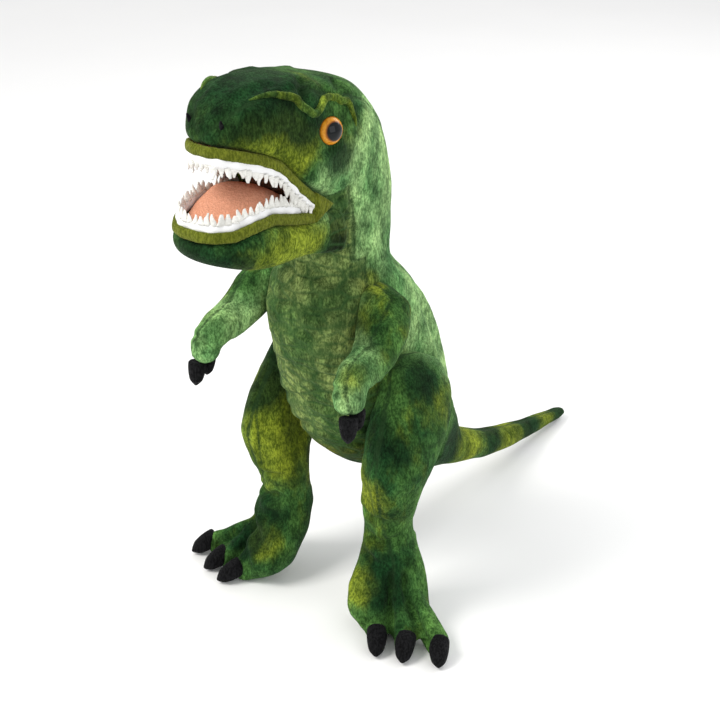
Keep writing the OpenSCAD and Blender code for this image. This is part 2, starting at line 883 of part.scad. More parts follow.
module claw_of_toe(n) {
    base = toe_at(n, (toe_reach[n] - claw_sink) * k, claw_z * k);
    run = unit([sin(claw_yaw[n]), -cos(claw_yaw[n]), -claw_drop]);
    rings = claw_rings(base, run, claw_len * k, claw_d * k);
    closed_loft([for (ring = rings) clamp_low(ring, -body_width, claw_lift)]);
}

module foot_claws() {
    difference() {
        for (n = [0 : len(toe_yaw) - 1]) claw_of_toe(n);
        for (n = [0 : len(toe_yaw) - 1]) closed_loft(toe_rings(n));
    }
}

// The bag of pellets low in the foot that keeps the toy upright
bag_centre = [27, -28, 23];
bag_size = [36, 28, 16];
bag_waist = 0.8; // share of its size at the bag's sides
bag_face = 0.5;  // and at its top and bottom
sheet = 0.01;    // thickness of the sheets that the bag is stretched over

module bag_sheet(share, z, extra) {
    translate([0, 0, z])
        cube([bag_size[0] * k * share + extra, bag_size[1] * k * share + extra, sheet], center = true);
}

module pellet_bag_at(extra) {
    translate([limb_x + bag_centre[0] * k, bag_centre[1] * k, bag_centre[2] * k])
        rotate([0, 0, 44])
            hull() for (up = [-1, 1]) {
                bag_sheet(bag_waist, up * bag_size[2] * k / 4, 2 * extra);
                bag_sheet(bag_face, up * (bag_size[2] * k / 2 + extra), 0);
            }
}

module leg_filling() {
    difference() {
        closed_loft(leg_grid(fill_t));
        pellet_bag_at(fill_gap);
    }
}

module leg_left_outer_panel() {
    color(leaf) stand() leg_panel(0, sides / 2);
}

module leg_left_inner_panel() {
    color(moss) stand() leg_panel(sides / 2, sides);
}

module leg_left_filling() {
    color(fibre) stand() leg_filling();
}

module pellet_bag_left() {
    color(felt) stand() pellet_bag_at(0);
}

module toe_left_inner() {
    color(moss) stand() toe(0);
}

module toe_left_middle() {
    color(leaf) stand() toe(1);
}

module toe_left_outer() {
    color(moss) stand() toe(2);
}

module foot_claws_left() {
    color(claw_black) stand() foot_claws();
}

module leg_right_outer_panel() {
    color(leaf) stand() mirror([1, 0, 0]) leg_panel(0, sides / 2);
}

module leg_right_inner_panel() {
    color(moss) stand() mirror([1, 0, 0]) leg_panel(sides / 2, sides);
}

module leg_right_filling() {
    color(fibre) stand() mirror([1, 0, 0]) leg_filling();
}

module pellet_bag_right() {
    color(felt) stand() mirror([1, 0, 0]) pellet_bag_at(0);
}

module toe_right_inner() {
    color(moss) stand() mirror([1, 0, 0]) toe(0);
}

module toe_right_middle() {
    color(leaf) stand() mirror([1, 0, 0]) toe(1);
}

module toe_right_outer() {
    color(moss) stand() mirror([1, 0, 0]) toe(2);
}

module foot_claws_right() {
    color(claw_black) stand() mirror([1, 0, 0]) foot_claws();
}

// ---- Tail ----

// Centres along the tail: [y, z, share of the root's radius]; the tip rests on the floor
tail_points = [
    [150, 90, 0.84],
    [190, 69, 0.66],
    [240, 47, 0.56],
    [300, 30, 0.45],
    [360, 18, 0.33],
    [408, 10, 0.25],
    [422, 8, 0.17]
];
tail_tip_z = 6;

function tail_centres() =
    concat([for (p = tail_points) [0, p[0], p[1]] * k], [[0, tail_tip_y, tail_tip_z] * k]);

function tail_grid(inset) =
    let (
        path = concat([tail_rim], tail_centres()),
        last = len(path) - 1,
        rim = tail_ring(tail_rim, tail_root_r, inset),
        root = cap_rings(rim, tail_pivot, tail_ball_r + joint_gap + inset, tail_axis)
    )
    concat(
        [for (s = [cap_steps : -1 : 0]) root[s]],
        [for (j = [1 : last - 1])
            let (
                axis = path_axis(path, j),
                up = up_axis(axis),
                r = tail_points[j - 1][2] * tail_root_r - inset
            )
            limb_ring(path[j], [1, 0, 0], -up, r, r)],
        [dot_ring(path[last] - path_axis(path, last) * inset)]
    );

module tail_panel(i0, i1) {
    outer = tail_grid(0);
    cover_panel(outer, tail_grid(cover_t), i0, i1, 0, len(outer) - 1);
}

module tail_left_panel() {
    color(leaf) stand() tail_panel(0, sides / 2);
}

module tail_right_panel() {
    color(moss) stand() tail_panel(sides / 2, sides);
}

module tail_filling() {
    color(fibre) stand() closed_loft(tail_grid(fill_t));
}

// ---- What is drawn ----

torso_left_panel();
torso_right_panel();
belly_panel();
torso_filling();
head_left_panel();
head_right_panel();
crown_gusset();
palate();
throat_panel();
head_filling();
upper_lip();
upper_teeth();
brow_ridge_left();
brow_ridge_right();
nostrils();
eye_left();
eye_right();
eye_washer_left();
eye_washer_right();
jaw_cover();
mouth_lining();
tongue();
lower_lip();
lower_teeth();
jaw_filling();
arm_left_outer_panel();
arm_left_inner_panel();
arm_left_filling();
hand_claw_left_front();
hand_claw_left_rear();
arm_right_outer_panel();
arm_right_inner_panel();
arm_right_filling();
hand_claw_right_front();
hand_claw_right_rear();
leg_left_outer_panel();
leg_left_inner_panel();
leg_left_filling();
pellet_bag_left();
toe_left_inner();
toe_left_middle();
toe_left_outer();
foot_claws_left();
leg_right_outer_panel();
leg_right_inner_panel();
leg_right_filling();
pellet_bag_right();
toe_right_inner();
toe_right_middle();
toe_right_outer();
foot_claws_right();
tail_left_panel();
tail_right_panel();
tail_filling();
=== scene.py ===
# %% [markdown]
# # A stuffed dinosaur, standing with its mouth open
#
# The toy is sewn from short pile cloth and filled with loose fibre. A sewn toy like this is cut as
# flat panels, sewn into tubes and bags, turned and filled, so its shapes are round, its seams pull in
# a little, and its folds gather where one part turns into the next.
# The measured frame gives every piece its place. This lesson dresses that frame in cloth.

# %% Load the frame
import bpy, bmesh, math
import numpy as np
from contextlib import contextmanager
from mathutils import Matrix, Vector, noise
from mathutils.bvhtree import BVHTree


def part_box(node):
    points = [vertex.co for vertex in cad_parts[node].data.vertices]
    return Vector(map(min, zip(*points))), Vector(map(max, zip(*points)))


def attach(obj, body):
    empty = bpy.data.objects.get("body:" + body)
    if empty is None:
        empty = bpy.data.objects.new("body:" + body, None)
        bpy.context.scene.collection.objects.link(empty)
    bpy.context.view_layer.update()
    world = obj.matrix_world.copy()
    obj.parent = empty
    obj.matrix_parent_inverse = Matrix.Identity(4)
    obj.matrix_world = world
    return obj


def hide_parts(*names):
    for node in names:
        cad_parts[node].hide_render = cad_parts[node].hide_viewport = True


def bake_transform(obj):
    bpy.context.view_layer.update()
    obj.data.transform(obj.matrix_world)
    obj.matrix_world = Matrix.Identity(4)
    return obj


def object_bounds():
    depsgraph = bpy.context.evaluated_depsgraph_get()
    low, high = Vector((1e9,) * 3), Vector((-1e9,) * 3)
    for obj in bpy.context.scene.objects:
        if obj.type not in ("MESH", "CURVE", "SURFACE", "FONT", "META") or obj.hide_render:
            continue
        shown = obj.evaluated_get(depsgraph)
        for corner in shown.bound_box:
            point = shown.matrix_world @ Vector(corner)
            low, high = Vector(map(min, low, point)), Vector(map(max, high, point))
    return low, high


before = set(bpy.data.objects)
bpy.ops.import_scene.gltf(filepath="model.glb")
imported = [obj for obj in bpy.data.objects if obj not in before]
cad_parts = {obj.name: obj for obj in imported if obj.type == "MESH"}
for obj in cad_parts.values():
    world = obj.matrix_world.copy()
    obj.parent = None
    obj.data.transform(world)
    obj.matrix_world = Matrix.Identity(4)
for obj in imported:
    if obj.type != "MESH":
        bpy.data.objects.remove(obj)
cad_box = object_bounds()
print("frame box", [round(v, 3) for v in (*cad_box[0], *cad_box[1])])

# %% [markdown]
# ## Places on the toy
#
# The toy maker's own measure starts on the floor between the feet, in millimetres: x to the toy's
# left, y to its back, z up. `at` turns that into metres in the frame.

# %% Places
JAW_FRONT = -186
sides = {"left": 1, "right": -1}
shift = cad_box[0].y - JAW_FRONT / 1000


def at(x, y, z):
    return np.array((x / 1000, y / 1000 + shift, z / 1000))


print("the toy maker's zero lies at y =", round(shift, 4))

# %% [markdown]
# ## Camera, floor and light
#
# A toy is pictured on a pale sweep under big soft lamps, so the pile shows its own colours and the
# shadows stay light.

# %% Camera
scene = bpy.context.scene
scene.view_settings.view_transform = "Standard"
lens = bpy.data.cameras.new("lens")
lens.lens, lens.sensor_width = 69.9, 36
camera = bpy.data.objects.new("camera", lens)
scene.collection.objects.link(camera)
camera.location = (0.691, -0.999, 0.805)
aim = Vector((0.022, -0.121, 0.250))
camera.rotation_mode = "QUATERNION"
camera.rotation_quaternion = (aim - camera.location).to_track_quat("-Z", "Y")
scene.camera = camera
print("camera stands", round((aim - camera.location).length, 3), "m away")


# %% Lamps and air
def lamp(name, place, size, power, tint):
    data = bpy.data.lights.new(name, "AREA")
    data.size, data.energy, data.color = size, power, tint
    obj = bpy.data.objects.new(name, data)
    scene.collection.objects.link(obj)
    obj.location = place
    obj.rotation_mode = "QUATERNION"
    obj.rotation_quaternion = (aim - Vector(place)).to_track_quat("-Z", "Y")


lamp("key_lamp", (-0.7, -1.4, 1.8), 0.9, 34, (1.0, 0.98, 0.94))
lamp("fill_lamp", (1.8, -0.5, 1.0), 1.4, 8, (0.94, 0.97, 1.0))
lamp("back_lamp", (0.3, 1.6, 1.5), 1.2, 14, (1.0, 1.0, 1.0))
world = bpy.data.worlds.new("studio_air")
scene.world = world
world.use_nodes = True
world.node_tree.nodes["Background"].inputs["Color"].default_value = (1.0, 1.0, 1.0, 1)
world.node_tree.nodes["Background"].inputs["Strength"].default_value = 0.86
print("three lamps and a pale sky")

# %% [markdown]
# ## Small helpers for shader trees
#
# A finish here is a chain of noises and mixes. These helpers keep each chain as short lines: a value
# is either a number or the socket it comes from.


# %% Shader helpers
def feed(tree, node, **inputs):
    for key, value in inputs.items():
        numbered = key[0] == "i" and key[1:].isdigit()
        socket = node.inputs[int(key[1:]) if numbered else key.replace("_", " ")]
        if isinstance(value, bpy.types.NodeSocket):
            tree.links.new(value, socket)
        elif isinstance(value, (tuple, list)) and socket.type == "RGBA" and len(value) == 3:
            socket.default_value = (*value, 1)
        else:
            socket.default_value = value
    return node


def put(tree, kind, settings=None, **inputs):
    node = tree.nodes.new(kind)
    for key, value in (settings or {}).items():
        setattr(node, key, value)
    return feed(tree, node, **inputs)


def blended(tree, factor, a, b, mode="MIX"):
    settings = {"data_type": "RGBA", "blend_type": mode}
    return put(tree, "ShaderNodeMix", settings, i0=factor, i6=a, i7=b).outputs[2]


def sums(tree, kind, a, b=0.0, **more):
    return put(tree, "ShaderNodeMath", {"operation": kind}, i0=a, i1=b, **more).outputs[0]


def vectors(tree, kind, result="Vector", **inputs):
    return put(tree, "ShaderNodeVectorMath", {"operation": kind}, **inputs).outputs[result]


def bumped(tree, height, strength, distance):
    return put(tree, "ShaderNodeBump", Strength=strength, Distance=distance, Height=height).outputs[0]


def eased(tree, value, low, high, out_low=0.0, out_high=1.0):
    return put(tree, "ShaderNodeMapRange", {"interpolation_type": "SMOOTHSTEP"}, Value=value,
               From_Min=low, From_Max=high, To_Min=out_low, To_Max=out_high).outputs[0]


def speckle(tree, vector, scale, detail=2.0, rough=0.5):
    return put(tree, "ShaderNodeTexNoise", Vector=vector, Scale=scale, Detail=detail,
               Roughness=rough).outputs["Fac"]


def painted(tree, name):
    return put(tree, "ShaderNodeAttribute", {"attribute_name": name}).outputs["Fac"]


def stretched(tree, vector, scale, turn=(0, 0, 0)):
    return put(tree, "ShaderNodeMapping", Vector=vector, Scale=scale, Rotation=turn).outputs[0]


def new_finish(name):
    material = bpy.data.materials.new(name)
    material.use_nodes = True
    tree = material.node_tree
    shader = tree.nodes["Principled BSDF"]
    place = put(tree, "ShaderNodeTexCoord").outputs["Object"]
    return material, tree, shader, place


def dress(piece, finish):
    piece.data.materials.clear()
    piece.data.materials.append(finish)
    piece.data.polygons.foreach_set("use_smooth", [True] * len(piece.data.polygons))


print("shader helpers ready")

# %% [markdown]
# ## The nap
#
# Pile cloth is a field of fine hairs that lean in patches. Seen from arm's length that reads as a
# grain of tiny tufts, with broader patches where a hand has stroked it. One group gives every pile
# finish the same grain: it takes a place and returns a height for bump and a tone for colour.


# %% Nap group
def nap_group():
    group = bpy.data.node_groups.new("short_nap", "ShaderNodeTree")
    group.interface.new_socket("Place", in_out="INPUT", socket_type="NodeSocketVector")
    group.interface.new_socket("Height", in_out="OUTPUT", socket_type="NodeSocketFloat")
    group.interface.new_socket("Tone", in_out="OUTPUT", socket_type="NodeSocketFloat")
    source = put(group, "NodeGroupInput")
    leaning = stretched(group, source.outputs[0], (1, 1, 0.45), (0.3, 0.2, 0))
    tufts = speckle(group, leaning, 620, 3, 0.7)
    hairs = speckle(group, leaning, 1500, 1, 0.5)
    stroked = speckle(group, source.outputs[0], 85, 3, 0.55)
    fine = sums(group, "MULTIPLY_ADD", hairs, 0.4, i2=tufts)
    height = sums(group, "MULTIPLY_ADD", stroked, 0.9, i2=fine)
    tone = sums(group, "MULTIPLY_ADD", stroked, 0.6, i2=eased(group, tufts, 0.36, 0.64))
    put(group, "NodeGroupOutput", Height=height, Tone=tone)
    return group


nap = nap_group()
print("nap group has", len(nap.nodes), "nodes")

# %% [markdown]
# ## The dyed green cloth
#
# The cloth is dyed before it is cut: deep green, leaf green and olive run into each other in streaks
# and clouds, and the panels for the belly and the nape are cut from a paler part of it. The dye group
# turns three painted masks and a few noises into a colour. The masks say where each shade gathers, and
# the noises break their edges, so nothing looks airbrushed.


# %% Dye group
def dye_group():
    group = bpy.data.node_groups.new("dyed_cloth", "ShaderNodeTree")
    group.interface.new_socket("Place", in_out="INPUT", socket_type="NodeSocketVector")
    for name in ("Pale", "Olive", "Deep"):
        group.interface.new_socket(name, in_out="INPUT", socket_type="NodeSocketFloat")
    group.interface.new_socket("Color", in_out="OUTPUT", socket_type="NodeSocketColor")
    source = put(group, "NodeGroupInput")
    place, pale, olive, deep = source.outputs[:4]
    clouds = speckle(group, place, 17, 3, 0.55)
    patches = speckle(group, stretched(group, place, (1, 1, 0.6), (0.6, 0.4, 0.9)), 26, 4, 0.6)
    streaks = speckle(group, stretched(group, place, (1, 1, 0.5), (0.25, 0.2, 0)), 62, 4, 0.6)
    green = blended(group, eased(group, clouds, 0.36, 0.64), (0.012, 0.050, 0.014),
                    (0.056, 0.138, 0.032))
    green = blended(group, eased(group, patches, 0.52, 0.72, 0, 0.75), green, (0.100, 0.140, 0.012))

    def spread(mask, noise_value, gain):
        shifted = sums(group, "MULTIPLY_ADD", sums(group, "SUBTRACT", noise_value, 0.5), gain, i2=mask)
        return eased(group, shifted, 0.2, 0.8)

    soft = blended(group, eased(group, patches, 0.35, 0.7), (0.080, 0.200, 0.072), (0.290, 0.460, 0.200))
    for mask, noise_value, gain, most, shade in ((olive, patches, 1.5, 0.85, (0.150, 0.190, 0.014)),
                                                 (pale, clouds, 0.9, 0.9, soft),
                                                 (deep, streaks, 1.4, 0.9, (0.003, 0.020, 0.006))):
        green = blended(group, sums(group, "MULTIPLY", spread(mask, noise_value, gain), most), green, shade)
    light = blended(group, eased(group, streaks, 0.3, 0.7), (0.50, 0.56, 0.50), (1.50, 1.42, 1.34))
    veins = speckle(group, stretched(group, place, (1, 1, 0.8), (0.5, 0.2, 0.4)), 120, 4, 0.65)
    marble = blended(group, eased(group, veins, 0.34, 0.62), (0.64, 0.68, 0.64), (1.24, 1.22, 1.20))
    light = blended(group, 1.0, light, marble, "MULTIPLY")
    put(group, "NodeGroupOutput", Color=blended(group, 1.0, green, light, "MULTIPLY"))
    return group


dye = dye_group()
print("dye group has", len(dye.nodes), "nodes")


# %% Green pile finish
def pile_finish(name, scaled=False):
    material, tree, shader, place = new_finish(name)
    nap_use = put(tree, "ShaderNodeGroup", {"node_tree": nap}, Place=place)
    dye_use = put(tree, "ShaderNodeGroup", {"node_tree": dye}, Place=place, Pale=painted(tree, "pale"),
                  Olive=painted(tree, "olive"), Deep=painted(tree, "deep"))
    height, tone = nap_use.outputs["Height"], nap_use.outputs["Tone"]
    grain = blended(tree, eased(tree, tone, 0.25, 1.35), (0.56, 0.61, 0.55), (1.44, 1.40, 1.42))
    colour = blended(tree, 1.0, dye_use.outputs[0], grain, "MULTIPLY")
    if scaled:
        flat = stretched(tree, place, (0.8, 0.8, 1.5))
        wobble = put(tree, "ShaderNodeTexNoise", Vector=place, Scale=60.0, Detail=1.0).outputs["Color"]
        flat = put(tree, "ShaderNodeMix", {"data_type": "VECTOR"}, i0=0.006, i4=flat,
                   i5=wobble).outputs[1]
        cells = put(tree, "ShaderNodeTexVoronoi", {"feature": "DISTANCE_TO_EDGE"}, Vector=flat,
                    Scale=62.0).outputs["Distance"]
        muted = blended(tree, 1.0, colour, (0.64, 0.54, 0.42), "MULTIPLY")
        colour = blended(tree, painted(tree, "belly"), colour, muted)
        edge = sums(tree, "MULTIPLY", eased(tree, cells, 0.0, 0.20, 1.0, 0.0), painted(tree, "belly"))
        colour = blended(tree, sums(tree, "MULTIPLY", edge, 0.62), colour, (0.030, 0.080, 0.022))
        height = sums(tree, "MULTIPLY_ADD", edge, -1.1, i2=height)
    seam = eased(tree, painted(tree, "seam"), 0.0003, 0.0020, 1.0, 0.0)
    thread = speckle(tree, place, 420, 1, 0.5)
    worn = sums(tree, "MULTIPLY", seam, eased(tree, thread, 0.3, 0.65, 0.4, 0.8))
    colour = blended(tree, worn, colour, (0.012, 0.034, 0.010))
    feed(tree, shader, Base_Color=colour, Normal=bumped(tree, height, 0.85, 0.0011),
         Roughness=eased(tree, tone, 0.2, 1.4, 0.98, 0.78), Specular_IOR_Level=0.08,
         Sheen_Weight=0.05, Sheen_Roughness=0.42, Sheen_Tint=(0.62, 0.85, 0.55))
    return material


green_pile = pile_finish("green_pile")
belly_pile = pile_finish("green_pile_with_scales", scaled=True)
print("green pile finishes made")


# %% [markdown]
# ## Plain finishes: lips, mouth, felt, claws
#
# The lips are a plain olive pile. The mouth is salmon plush; the palate is a darker copy of it, with the
# shade under the roof of the mouth painted into its colour. The teeth are white felt, which is matted
# rather than woven: it shows short crossing fibres and no direction. The claws are black plush with a
# slight shine where the nap lies flat.


# %% Plain pile finishes
def plain_pile(name, low, high, sheen, tint, bump_depth=0.0008, fibre=False):
    material, tree, shader, place = new_finish(name)
    nap_use = put(tree, "ShaderNodeGroup", {"node_tree": nap}, Place=place)
    tone = nap_use.outputs["Tone"]
    if fibre:
        first = speckle(tree, stretched(tree, place, (1, 0.16, 1), (0.4, 0.1, 0.7)), 700, 2, 0.6)
        second = speckle(tree, stretched(tree, place, (0.16, 1, 1), (0.1, 0.5, 0.3)), 700, 2, 0.6)
        tone = sums(tree, "ADD", first, second)
    clouds = speckle(tree, place, 34, 3, 0.6)
    colour = blended(tree, eased(tree, tone, 0.3, 1.3), low, high)
    colour = blended(tree, eased(tree, clouds, 0.4, 0.75, 0.0, 0.45), colour,
                     tuple(0.7 * v for v in low))
    feed(tree, shader, Base_Color=colour, Normal=bumped(tree, tone, 0.7, bump_depth),
         Roughness=eased(tree, tone, 0.5, 1.3, 0.95, 0.72), Specular_IOR_Level=0.12,
         Sheen_Weight=sheen, Sheen_Roughness=0.4, Sheen_Tint=tint)
    return material


olive_pile = plain_pile("olive_pile", (0.075, 0.095, 0.006), (0.150, 0.175, 0.014), 0.1, (0.9, 0.95, 0.5))
salmon_pile = plain_pile("salmon_pile", (0.70, 0.31, 0.19), (0.80, 0.38, 0.24), 0.08, (1.0, 0.8, 0.7))
# The palate is the salmon pile darkened: painted shade of the roof of the mouth.
shaded_palate_pile = plain_pile("shaded_palate_pile", (0.40, 0.17, 0.09), (0.60, 0.30, 0.19), 0.1, (1.0, 0.8, 0.7))
white_felt = plain_pile("white_felt", (0.60, 0.59, 0.54), (0.82, 0.81, 0.77), 0.1, (1, 1, 1), 0.0007, True)
claw_cloth = plain_pile("claw_cloth", (0.0012, 0.0012, 0.0015), (0.007, 0.007, 0.008), 0.03,
                        (0.6, 0.6, 0.7))
print("olive, salmon, felt and claw finishes made")

# %% [markdown]
# ## Eyes
#
# A safety eye is one glossy moulded dome: the iris is a ring of amber lacquer under clear plastic and
# the pupil is black. The rings are drawn from the distance to the eye's own axis, so they are exact
# circles whatever the mesh is. The eye pair is mirrored, so the sideways place is made positive first.


# %% Eye finish
def eye_finish():
    material, tree, shader, place = new_finish("eye_plastic")
    low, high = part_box("eye_left")
    centre = (low + high) / 2
    turn, lean = math.radians(14), math.radians(6)
    axis = (math.cos(turn) * math.cos(lean), -math.sin(turn) * math.cos(lean), math.sin(lean))
    x, y, z = put(tree, "ShaderNodeSeparateXYZ", Vector=place).outputs
    point = put(tree, "ShaderNodeCombineXYZ", X=sums(tree, "ABSOLUTE", x), Y=y, Z=z).outputs[0]
    away = vectors(tree, "SUBTRACT", i0=point, i1=tuple(centre))
    across = vectors(tree, "CROSS_PRODUCT", i0=away, i1=axis)
    reach = vectors(tree, "LENGTH", "Value", i0=across)
    flecks = speckle(tree, place, 380, 2, 0.6)
    amber = blended(tree, eased(tree, flecks, 0.3, 0.7), (0.56, 0.20, 0.010), (0.78, 0.33, 0.03))
    amber = blended(tree, eased(tree, reach, 0.0072, 0.0086, 1.0, 0.0), amber, (0.16, 0.045, 0.005))
    colour = blended(tree, eased(tree, reach, 0.0068, 0.0073, 1.0, 0.0), amber, (0.001, 0.003, 0.004))
    colour = blended(tree, eased(tree, reach, 0.0101, 0.0107), colour, (0.30, 0.10, 0.008))
    scratches = speckle(tree, place, 900, 1, 0.5)
    feed(tree, shader, Base_Color=colour, Roughness=eased(tree, flecks, 0.0, 1.0, 0.05, 0.12),
         Normal=bumped(tree, scratches, 0.04, 0.0002), Specular_IOR_Level=0.2, Coat_Weight=0.1,
         Coat_Roughness=0.03)
    return material


eye_plastic = eye_finish()
for side in sides:
    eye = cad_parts["eye_" + side]
    eye.data.materials.clear()
    eye.data.materials.append(eye_plastic)
print("eye rings measured from the eye's own axis")


# %% Washer finish
def washer_finish():
    material, tree, shader, place = new_finish("washer_plastic")
    grain = speckle(tree, place, 500, 3, 0.6)
    colour = blended(tree, grain, (0.66, 0.66, 0.63), (0.80, 0.80, 0.77))
    feed(tree, shader, Base_Color=colour, Roughness=eased(tree, grain, 0.2, 0.8, 0.35, 0.6),
         Normal=bumped(tree, grain, 0.2, 0.0003))
    return material


washer_plastic = washer_finish()
for side in sides:
    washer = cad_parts["eye_washer_" + side]
    washer.data.materials.clear()
    washer.data.materials.append(washer_plastic)
print("washers carried over with a moulded finish")

# %% [markdown]
# ## Turning hard panels into one stuffed skin
#
# On the toy the cover is one bag of cloth, and at the neck or the rump it simply bends. The frame's
# panels stop at each joint. So the panels and their filling are joined and remeshed on a fine grid,
# which melts them into one closed skin, and a little smoothing takes out the flat facets, as filling
# does. The skin is cut again only where a joint needs it, along clean planes, with shared points.


# %% Mesh helpers
@contextmanager
def opened(mesh):
    work = bmesh.new()
    work.from_mesh(mesh)
    yield work
    work.to_mesh(mesh)
    work.free()


def fitted(piece, slot, fill, *nodes):
    if nodes:
        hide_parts(*nodes)


def stood(name, mesh):
    obj = bpy.data.objects.new(name, mesh)
    scene.collection.objects.link(obj)
    return obj


def mesh_object(name, points, faces, edges=()):
    mesh = bpy.data.meshes.new(name)
    mesh.from_pydata([tuple(p) for p in points], list(edges), [tuple(f) for f in faces])
    mesh.update()
    return stood(name, mesh)


def tube(name, rings, count):
    total = len(rings) // count
    faces = [(i * count + k, i * count + (k + 1) % count,
              (i + 1) * count + (k + 1) % count, (i + 1) * count + k)
             for i in range(total - 1) for k in range(count)]
    faces += [tuple(reversed(range(count))), tuple(range((total - 1) * count, total * count))]
    obj = mesh_object(name, rings, faces)
    with opened(obj.data) as work:
        bmesh.ops.recalc_face_normals(work, faces=work.faces)
    return obj


def solids_joined(name, nodes, extra=()):
    whole = bmesh.new()
    for node in nodes:
        part = bmesh.new()
        part.from_mesh(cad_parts[node].data)
        bmesh.ops.remove_doubles(part, verts=part.verts, dist=1e-5)
        spare = bpy.data.meshes.new("spare")
        part.to_mesh(spare)
        part.free()
        whole.from_mesh(spare)
        bpy.data.meshes.remove(spare)
    for corners in extra:
        added = [whole.verts.new(tuple(c)) for c in corners]
        bmesh.ops.convex_hull(whole, input=added)
    mesh = bpy.data.meshes.new(name)
    whole.to_mesh(mesh)
    whole.free()
    return stood(name, mesh)


def grid_remeshed(obj, step):
    tool = obj.modifiers.new("grid", "REMESH")
    tool.mode, tool.voxel_size, tool.adaptivity = "VOXEL", step, 0.0
    graph = bpy.context.evaluated_depsgraph_get()
    made = bpy.data.meshes.new_from_object(obj.evaluated_get(graph))
    obj.modifiers.clear()
    old, obj.data = obj.data, made
    bpy.data.meshes.remove(old)
    return obj


def outer_shell_only(obj):
    with opened(obj.data) as work:
        unseen, largest = set(work.verts), []
        while unseen:
            group, edge = [], [unseen.pop()]
            while edge:
                vert = edge.pop()
                group.append(vert)
                for link in vert.link_edges:
                    other = link.other_vert(vert)
                    if other in unseen:
                        unseen.discard(other)
                        edge.append(other)
            if len(group) > len(largest):
                largest = group
        keep = set(largest)
        bmesh.ops.delete(work, geom=[v for v in work.verts if v not in keep], context="VERTS")


def listed(items, key, width=3, kind=np.float32):
    flat = np.empty(len(items) * width, kind)
    items.foreach_get(key, flat)
    return flat.reshape(-1, width)


def points_of(mesh):
    return listed(mesh.vertices, "co").astype(float)


def normals_of(mesh):
    return listed(mesh.vertex_normals, "vector").astype(float)


def set_points(mesh, points):
    mesh.vertices.foreach_set("co", points.astype(np.float32).ravel())
    mesh.update()


def pushed(obj, move):
    points, normals = points_of(obj.data), normals_of(obj.data)
    set_points(obj.data, points + np.reshape(move, (-1, 1)) * normals)


def rounded(t):
    return t * t * (3 - 2 * t)


def relaxed(mesh, times, share=0.5, grip=None):
    points, edges = points_of(mesh), listed(mesh.edges, "vertices", 2, np.int32)
    count = np.bincount(edges.ravel(), minlength=len(points))[:, None].clip(1)
    hold = share if grip is None else share * grip[:, None]
    for _ in range(times):
        total = np.stack([np.bincount(edges[:, 0], points[edges[:, 1], k], len(points))
                          + np.bincount(edges[:, 1], points[edges[:, 0], k], len(points))
                          for k in range(3)], 1)
        points = points + hold * (total / count - points)
    set_points(mesh, points)


def soft_skin(name, nodes, step, times, extra=(), swell=0.0, one_shell=True, grip=None):
    obj = grid_remeshed(solids_joined(name, nodes, extra), step)
    if one_shell:
        outer_shell_only(obj)
    relaxed(obj.data, times, 0.5, None if grip is None else grip(points_of(obj.data)))
    if swell:
        pushed(obj, swell)
    return obj


print("mesh helpers ready")

# %% [markdown]
# ## Folds and seams
#
# A fold is pressed into the skin along a short path laid on it: points near the path go in, and the
# cloth to each side rolls up a little, as stuffed cloth does. The same tool makes the sewn seams.


# %% Fold helpers
def smooth_path(points, spacing=0.004):
    made = []
    points = [np.array(p) for p in points]
    padded = [2 * points[0] - points[1]] + points + [2 * points[-1] - points[-2]]
    for a, b, c, d in zip(padded, padded[1:], padded[2:], padded[3:]):
        steps = max(2, int(np.linalg.norm(c - b) / spacing))
        for s in range(steps):
            t = s / steps
            made.append(0.5 * (2 * b + (c - a) * t + (2 * a - 5 * b + 4 * c - d) * t * t
                               + (3 * b - a - 3 * c + d) * t ** 3))
    made.append(points[-1])
    return np.array(made)


def laid_on(obj, path):
    surface = BVHTree.FromObject(obj, bpy.context.evaluated_depsgraph_get())
    return np.array([tuple(surface.find_nearest(Vector(p))[0]) for p in path])


def distance_to(points, path):
    best = np.full(len(points), 9.0)
    along = np.zeros(len(points))
    near = np.flatnonzero(((points > path.min(0) - 0.03) & (points < path.max(0) + 0.03)).all(1))
    sub = points[near]
    reach = np.full(len(sub), 9.0)
    share = np.zeros(len(sub))
    for i, (a, b) in enumerate(zip(path[:-1], path[1:])):
        step = b - a
        t = np.clip(((sub - a) @ step) / max(step @ step, 1e-12), 0, 1)
        d = np.linalg.norm(sub - (a + t[:, None] * step), axis=1)
        nearer = d < reach
        reach[nearer], share[nearer] = d[nearer], ((i + t) / (len(path) - 1))[nearer]
    best[near], along[near] = reach, share
    return best, along


def path_on(obj, places, mirror=1):
    return laid_on(obj, smooth_path([at(mirror * x, y, z) for x, y, z in places]))


def fold(obj, places, depth, width, mirrors=(1, -1), tail_off=0.18):
    for mirror in mirrors:
        away, along = distance_to(points_of(obj.data), path_on(obj, places, mirror))
        ends = rounded(np.clip(np.minimum(along, 1 - along) / tail_off, 0, 1))
        shape = -depth * np.exp(-(away / width) ** 2)
        shape += 0.45 * depth * np.exp(-((away - 2.1 * width) / width) ** 2)
        pushed(obj, np.where(away < 9, shape * ends, 0.0))


def lumps(obj, size, height, seed, squash=(1, 1, 1)):
    wave = np.array([noise.noise(Vector((p[0] * squash[0], p[1] * squash[1], p[2] * squash[2])) / size
                                 + Vector((seed, 0, 0))) for p in points_of(obj.data)])
    pushed(obj, height * wave)


print("fold helpers ready")

# %% [markdown]
# ## Body, head, jaw and tail as one bag
#
# The trunk of the toy is sewn as one bag from the snout to the tail's tip. A wedge of cloth and
# filling joins the jaw's back to the throat, and another fills the hollow over the tail's root: the
# frame leaves working gaps there.

